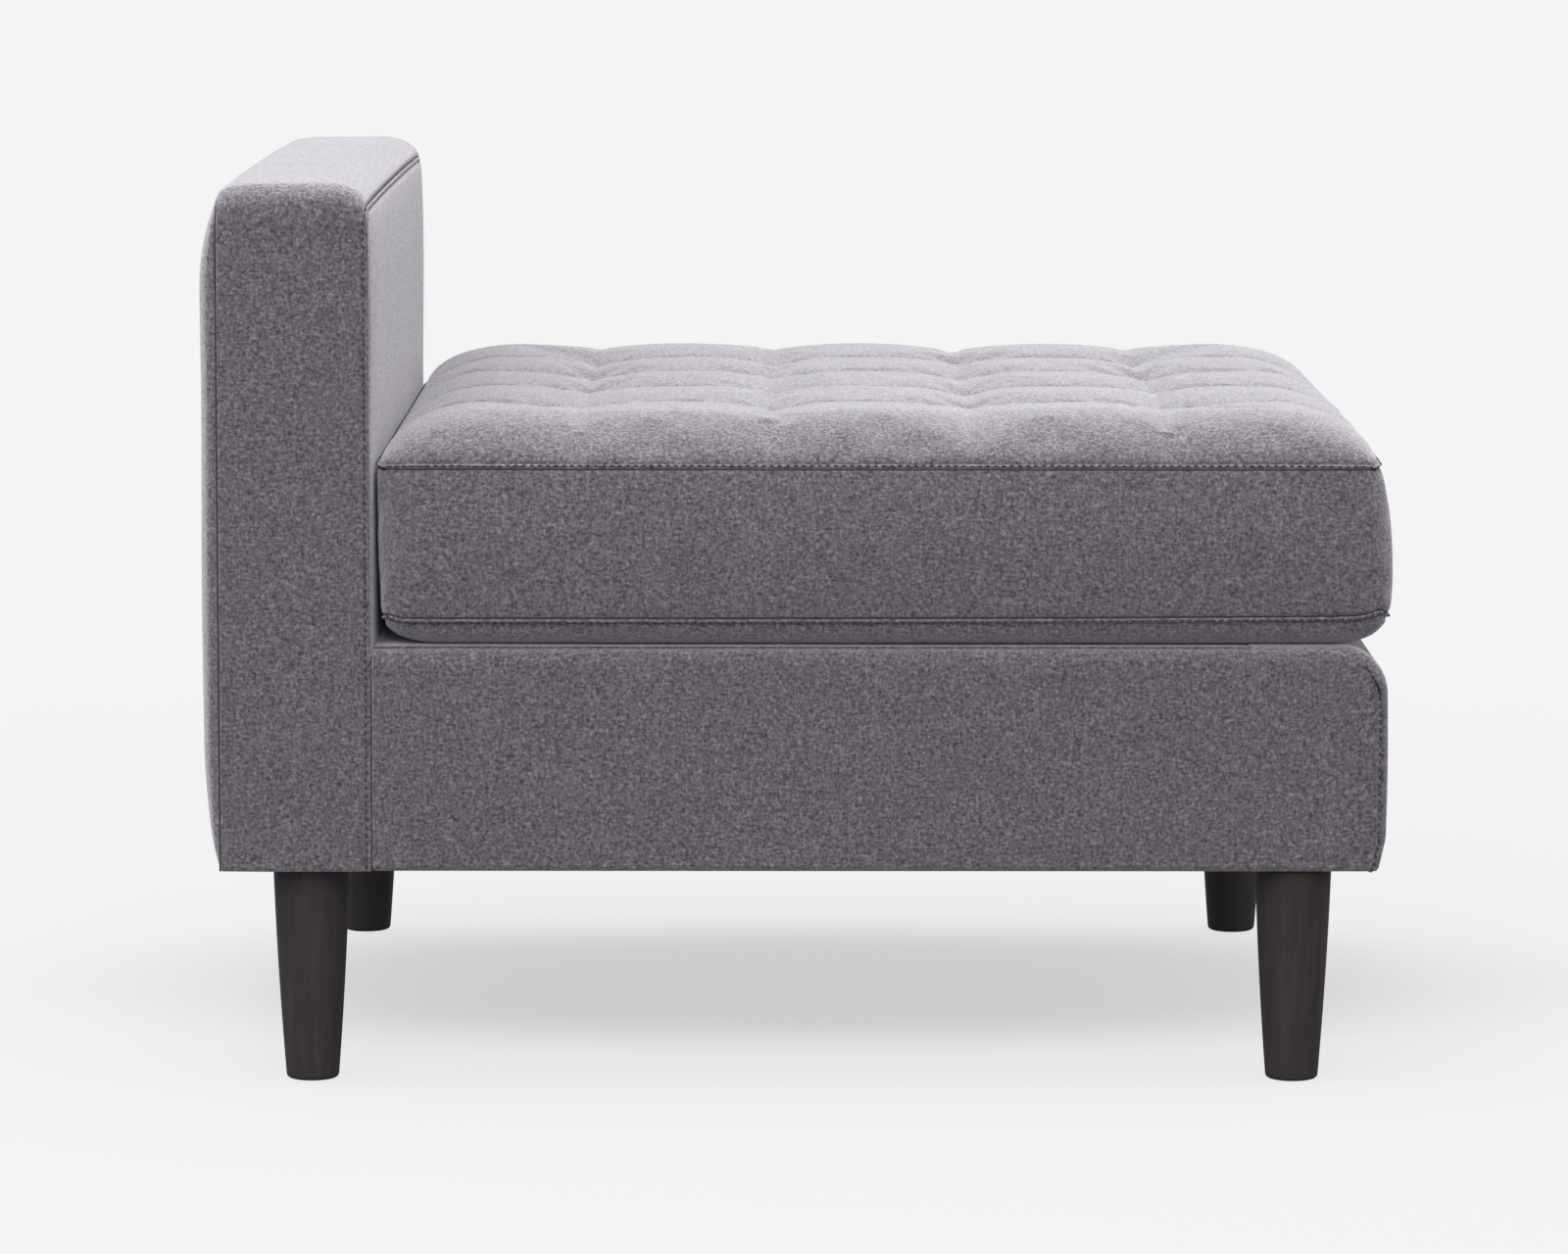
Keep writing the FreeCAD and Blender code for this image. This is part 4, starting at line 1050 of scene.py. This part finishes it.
class Paint:
    # One node tree: a material, or the world
    def __init__(self, owner):
        owner.use_nodes = True
        self.owner = owner
        self.tree = owner.node_tree
        self.shader = self.tree.nodes.get("Principled BSDF")

    def add(self, kind, settings=None, inputs=None, output=0):
        node = self.tree.nodes.new(kind)
        for word, setting in (settings or {}).items():
            if word == "stops":
                self.setStops(node.color_ramp, setting)
            else:
                setattr(node, word, setting)
        for word, given in (inputs or {}).items():
            self.put(node.inputs[word], given)
        return Wire(self, node.outputs[output])

    def put(self, socket, given):
        if isinstance(given, Wire):
            self.tree.links.new(given.socket, socket)
        else:
            socket.default_value = given

    def setStops(self, ramp, stops):
        while len(ramp.elements) < len(stops):
            ramp.elements.new(0.5)
        for element, (place, colour) in zip(ramp.elements, stops):
            element.position = place
            element.color = (*colour, 1)

    def surface(self, **inputs):
        for word, given in inputs.items():
            self.put(self.shader.inputs[word.replace("_", " ")], given)

    def coordinates(self):
        return self.add("ShaderNodeTexCoord", output="Object")

    def noise(self, where, scale, detail=2.0, rough=0.5):
        inputs = {"Vector": where, "Scale": scale, "Detail": detail, "Roughness": rough}
        return self.add("ShaderNodeTexNoise", None, inputs)

    def stretched(self, where, size, turn=(0, 0, 0)):
        return self.add("ShaderNodeMapping", None, {"Vector": where, "Scale": size, "Rotation": turn})

    def ramp(self, share, *stops):
        # Each stop is a place and a colour as a screen shows it
        stops = [(place, linear(*colour)) for place, *colour in stops]
        return self.add("ShaderNodeValToRGB", {"stops": stops}, {"Fac": share})

    def mixed(self, share, first, second, blend="MIX"):
        settings = {"data_type": "RGBA", "blend_type": blend}
        return self.add("ShaderNodeMix", settings, {0: share, 6: first, 7: second}, 2)

    def finished(self, colour, roughness, relief, deep, strength, **more):
        # Colour, roughness and a fine relief, and the material that has them
        inputs = {"Height": relief, "Distance": deep * mm, "Strength": strength}
        bump = self.add("ShaderNodeBump", None, inputs)
        self.surface(Base_Color=colour, Roughness=roughness, Normal=bump, **more)
        return self.owner

    def blend(self, share, first, second):
        # Two shaders mixed into the tree's output
        both = self.add("ShaderNodeMixShader", None, {0: share, 1: first, 2: second})
        output = next(node for node in self.tree.nodes if node.name.endswith("Output"))
        self.put(output.inputs["Surface"], both)


def newPaint(name):
    return Paint(bpy.data.materials.new(name))


def linear(red, green, blue):
    # From a colour as a screen shows it, out of 255, to the light it stands for
    return tuple(((part / 255 + 0.055) / 1.055) ** 2.4 for part in (red, green, blue))


def woolFinish():
    # Felted wool: short fibres of a few shades, lying every way, with a soft nap
    paint = newPaint("woolCloth")
    where = paint.coordinates()
    flecks = paint.noise(where, 420, 2.0, 0.6)
    lying = paint.noise(paint.stretched(where, (1, 0.35, 1), (0.4, 0.3, 0.6)), 560)
    standing = paint.noise(paint.stretched(where, (1, 1, 0.35), (0.3, -0.4, 0.2)), 580)
    drift = paint.noise(where, 14)
    felt = flecks * 0.5 + lying * 0.28 + standing * 0.22
    stops = (0.36, 42, 37, 44), (0.46, 78, 73, 81), (0.54, 98, 92, 100), (0.64, 131, 125, 133)
    shades = paint.ramp(felt, *stops)
    tone = paint.mixed(drift, (0.93, 0.93, 0.95, 1), (1.07, 1.07, 1.05, 1))
    colour = paint.mixed(1.0, shades, tone, "MULTIPLY")
    fibres = paint.noise(where, 900, 2.0, 0.6)
    # Between the tufts of nap the bare felt shows
    worn = paint.add("ShaderNodeMapRange", None,
                     {"Value": felt, "From Min": 0.4, "From Max": 0.56, "To Min": 0.34, "To Max": 0})
    bare = paint.add("ShaderNodeBsdfPrincipled", None,
                     {"Base Color": colour, "Roughness": 0.95, "Specular IOR Level": 0.1})
    paint.blend(worn, Wire(paint, paint.shader.outputs[0]), bare)
    relief = flecks * 0.6 + fibres * 0.25 + lying * 0.4
    nap = {"Sheen_Weight": 1.0, "Sheen_Roughness": 0.62, "Sheen_Tint": (0.95, 0.92, 0.98, 1)}
    return paint.finished(colour, 0.95, relief, 1.1, 0.9, Specular_IOR_Level=0.15, **nap)


def stainedWoodFinish():
    # Dark stained beech under satin lacquer: the grain runs up the leg
    paint = newPaint("stainedBeech")
    where = paint.coordinates()
    grain = paint.noise(paint.stretched(where, (1, 1, 0.05)), 210, 5.0, 0.6)
    pores = paint.noise(paint.stretched(where, (1, 1, 0.03)), 900)
    colour = paint.ramp(grain, (0.3, 57, 52, 53), (0.5, 62, 57, 58), (0.72, 69, 63, 63))
    relief = pores * 0.6 + grain * 0.4
    return paint.finished(colour, 0.38 + grain * 0.16, relief, 0.12, 0.35, Specular_IOR_Level=0.2)


def timberFinish():
    # Planed softwood with yearly bands
    paint = newPaint("frameTimber")
    where = paint.coordinates()
    bent = paint.noise(where, 6)
    rings = paint.noise(paint.stretched(where, (0.12, 1, 1)), 120, 4.0, 0.6)
    stops = (0.35, 168, 130, 86), (0.5, 198, 160, 112), (0.65, 216, 184, 138)
    colour = paint.ramp(rings * 0.7 + bent * 0.3, *stops)
    return paint.finished(colour, 0.6 + rings * 0.2, rings, 0.2, 0.4)


def hardboardFinish():
    # Brown pressed board, smooth with a mottled surface
    paint = newPaint("hardboard")
    mottle = paint.noise(paint.coordinates(), 260, 4.0, 0.65)
    colour = paint.ramp(mottle, (0.35, 92, 62, 38), (0.65, 128, 92, 60))
    return paint.finished(colour, 0.5 + mottle * 0.2, mottle, 0.15, 0.4)


def foamFinish():
    # Cream foam with open cells
    paint = newPaint("foam")
    cells = paint.add("ShaderNodeTexVoronoi", None, {"Vector": paint.coordinates(), "Scale": 700})
    colour = paint.ramp(cells, (0.1, 214, 204, 168), (0.6, 236, 229, 202))
    return paint.finished(colour, 0.95, cells, 0.4, 0.6)


def wovenFinish(name, dark, light, threads, roughness):
    # Plain weave: crossed waves lift the threads in turn
    paint = newPaint(name)
    where = paint.coordinates()
    inputs = {"Vector": where, "Scale": threads}
    waves = [paint.add("ShaderNodeTexWave", {"bands_direction": axis}, inputs, 1) for axis in "XYZ"]
    weave = waves[0] * 0.4 + waves[1] * 0.4 + waves[2] * 0.2
    colour = paint.ramp(weave, (0.25, *dark), (0.75, *light))
    return paint.finished(colour, roughness + weave * 0.1, weave, 0.3, 0.6)


def plasticFinish(name, colour, roughness):
    # Moulded plastic with a faint orange-peel surface
    paint = newPaint(name)
    skin = paint.noise(paint.coordinates(), 500)
    lighter = tuple(part * 1.25 for part in colour)
    colour = paint.mixed(skin, (*colour, 1), (*lighter, 1))
    return paint.finished(colour, roughness + skin * 0.12, skin, 0.08, 0.4)


def metalFinish(name, colour, roughness):
    # Plated metal, finely drawn along its length
    paint = newPaint(name)
    drawn = paint.noise(paint.stretched(paint.coordinates(), (1, 1, 0.05)), 1500)
    darker = tuple(part * 0.85 for part in colour)
    colour = paint.mixed(drawn, (*darker, 1), (*colour, 1))
    return paint.finished(colour, roughness + drawn * 0.15, drawn, 0.05, 0.3, Metallic=1.0)


finishes = {
    "upholstery": woolFinish(),
    "stained_wood": stainedWoodFinish(),
    "timber": timberFinish(),
    "hardboard": hardboardFinish(),
    "foam": foamFinish(),
    "webbing": wovenFinish("webbing", (74, 60, 46), (122, 102, 80), 260, 0.8),
    "lining": wovenFinish("lining", (18, 18, 20), (38, 38, 41), 420, 0.85),
    # The thread's dark colour also goes on the tubes of painted shade in the seams
    "tie": wovenFinish("thread", (42, 38, 44), (64, 59, 66), 600, 0.8),
    "nylon": plasticFinish("glideNylon", linear(42, 40, 38), 0.4),
    "zip_coil": plasticFinish("zipCoil", linear(74, 71, 78), 0.45),
    "steel": metalFinish("platedSteel", linear(196, 196, 192), 0.28),
    "zip_metal": metalFinish("zipMetal", linear(120, 117, 122), 0.3),
}

slots = {part["node"]: part["material_slot"] for part in frame["record"]["subparts"]}
slots.update(dressedSlots)
for name, slot in slots.items():
    mesh = bpy.data.objects[name].data
    mesh.materials.clear()
    mesh.materials.append(finishes[slot])
print("finishes set")


# Camera, lights and a pale floor

studio = {
    "lens": 160.13,
    "sensor": 36,
    "from": (-5.412, 0.0195, 0.926),
    # Turned about Z, tipped down and rolled, in degrees
    "turn": -90.066,
    "tip": 83.344,
    "roll": 0.047,
    # Where the lamps stand, how wide they are, and their power
    "overhead": ((-0.2, 0.35, 3.3), 2.4, 64),
    "key": ((-3.2, 0.9, 2.7), 2.6, 60),
    "world": 0.88,
    "paper": (0.905, 0.905, 0.905, 1),
    "shadedPaper": (0.58, 0.58, 0.58, 1),
    "floorSide": 9.0,
    # Shares of fallen light in the paper's look: in a wide ring and in a narrow core,
    # each with its inner and outer radius
    "wide": (0.8, 2.2, 0.15),
    "core": (0.35, 0.8, 0.21),
}

view = bpy.data.cameras.new("camera")
view.lens = studio["lens"]
view.sensor_width = studio["sensor"]
camera = bpy.data.objects.new("camera", view)
bpy.context.scene.collection.objects.link(camera)
bpy.context.scene.camera = camera
turned = Matrix.Rotation(math.radians(studio["turn"]), 4, "Z")
turned = turned @ Matrix.Rotation(math.radians(studio["tip"]), 4, "X")
turned = turned @ Matrix.Rotation(math.radians(studio["roll"]), 4, "Z")
camera.matrix_world = Matrix.Translation(studio["from"]) @ turned
bpy.context.scene.view_settings.view_transform = "Standard"


def addLight(name):
    # A square soft light that faces the middle of the object
    place, size, power = studio[name]
    lamp = bpy.data.lights.new(name, "AREA")
    lamp.size = size
    lamp.energy = power
    thing = bpy.data.objects.new(name, lamp)
    bpy.context.scene.collection.objects.link(thing)
    thing.location = place
    thing.rotation_euler = (Vector((0, 0, 0.35)) - Vector(place)).to_track_quat("-Z", "Y").to_euler()


addLight("overhead")
addLight("key")


def paintWorld():
    # Even studio light; rays from the camera, mirrors and glass see the paper instead
    paint = Paint(bpy.data.worlds.new("studio"))
    bpy.context.scene.world = paint.owner
    path = [paint.add("ShaderNodeLightPath", output=word)
            for word in ("Is Camera Ray", "Is Glossy Ray", "Is Transmission Ray")]
    seen = path[0] + path[1] + path[2]
    lit = paint.add("ShaderNodeBackground", None, {"Color": (1, 1, 1, 1), "Strength": studio["world"]})
    plain = paint.add("ShaderNodeBackground", None, {"Color": studio["paper"]})
    paint.blend(seen, lit, plain)


def makeFloor():
    # A wide sheet of paper: near the object a part of what shows is the light that falls
    # on it, and further off only the paper's own even tone
    side = studio["floorSide"]
    corners = np.array([(-side, -side, 0), (side, -side, 0), (side, side, 0), (-side, side, 0)])
    floor = addMesh("floor", corners, np.array([[0, 1, 2, 3]]))
    paint = newPaint("paper")
    paint.tree.nodes.remove(paint.shader)
    where = paint.coordinates()

    def ring(place, word):
        inner, outer, share = studio[word]
        away = paint.add("ShaderNodeVectorMath", {"operation": "LENGTH"}, {0: place}, 1)
        inputs = {"Value": away, "From Min": inner, "From Max": outer, "To Min": share, "To Max": 0}
        return paint.add("ShaderNodeMapRange", {"interpolation_type": "SMOOTHSTEP"}, inputs)

    inputs = {"Vector": where, "Location": (-0.18, 0, 0), "Scale": (2.2, 1, 1)}
    squeezed = paint.add("ShaderNodeMapping", None, inputs)
    near = ring(where, "wide") + ring(squeezed, "core")
    # The paper looks bright, but lights the object only as a shaded floor does
    seen = paint.add("ShaderNodeLightPath", output="Is Camera Ray")
    inputs = {"Color": studio["paper"], "Strength": seen * 0.9 + 0.1}
    glow = paint.add("ShaderNodeEmission", None, inputs)
    lit = paint.add("ShaderNodeBsdfDiffuse", None, {"Color": studio["shadedPaper"]})
    paint.blend(near, glow, lit)
    floor.data.materials.append(paint.owner)


paintWorld()
makeFloor()
print("camera, lights and floor set")
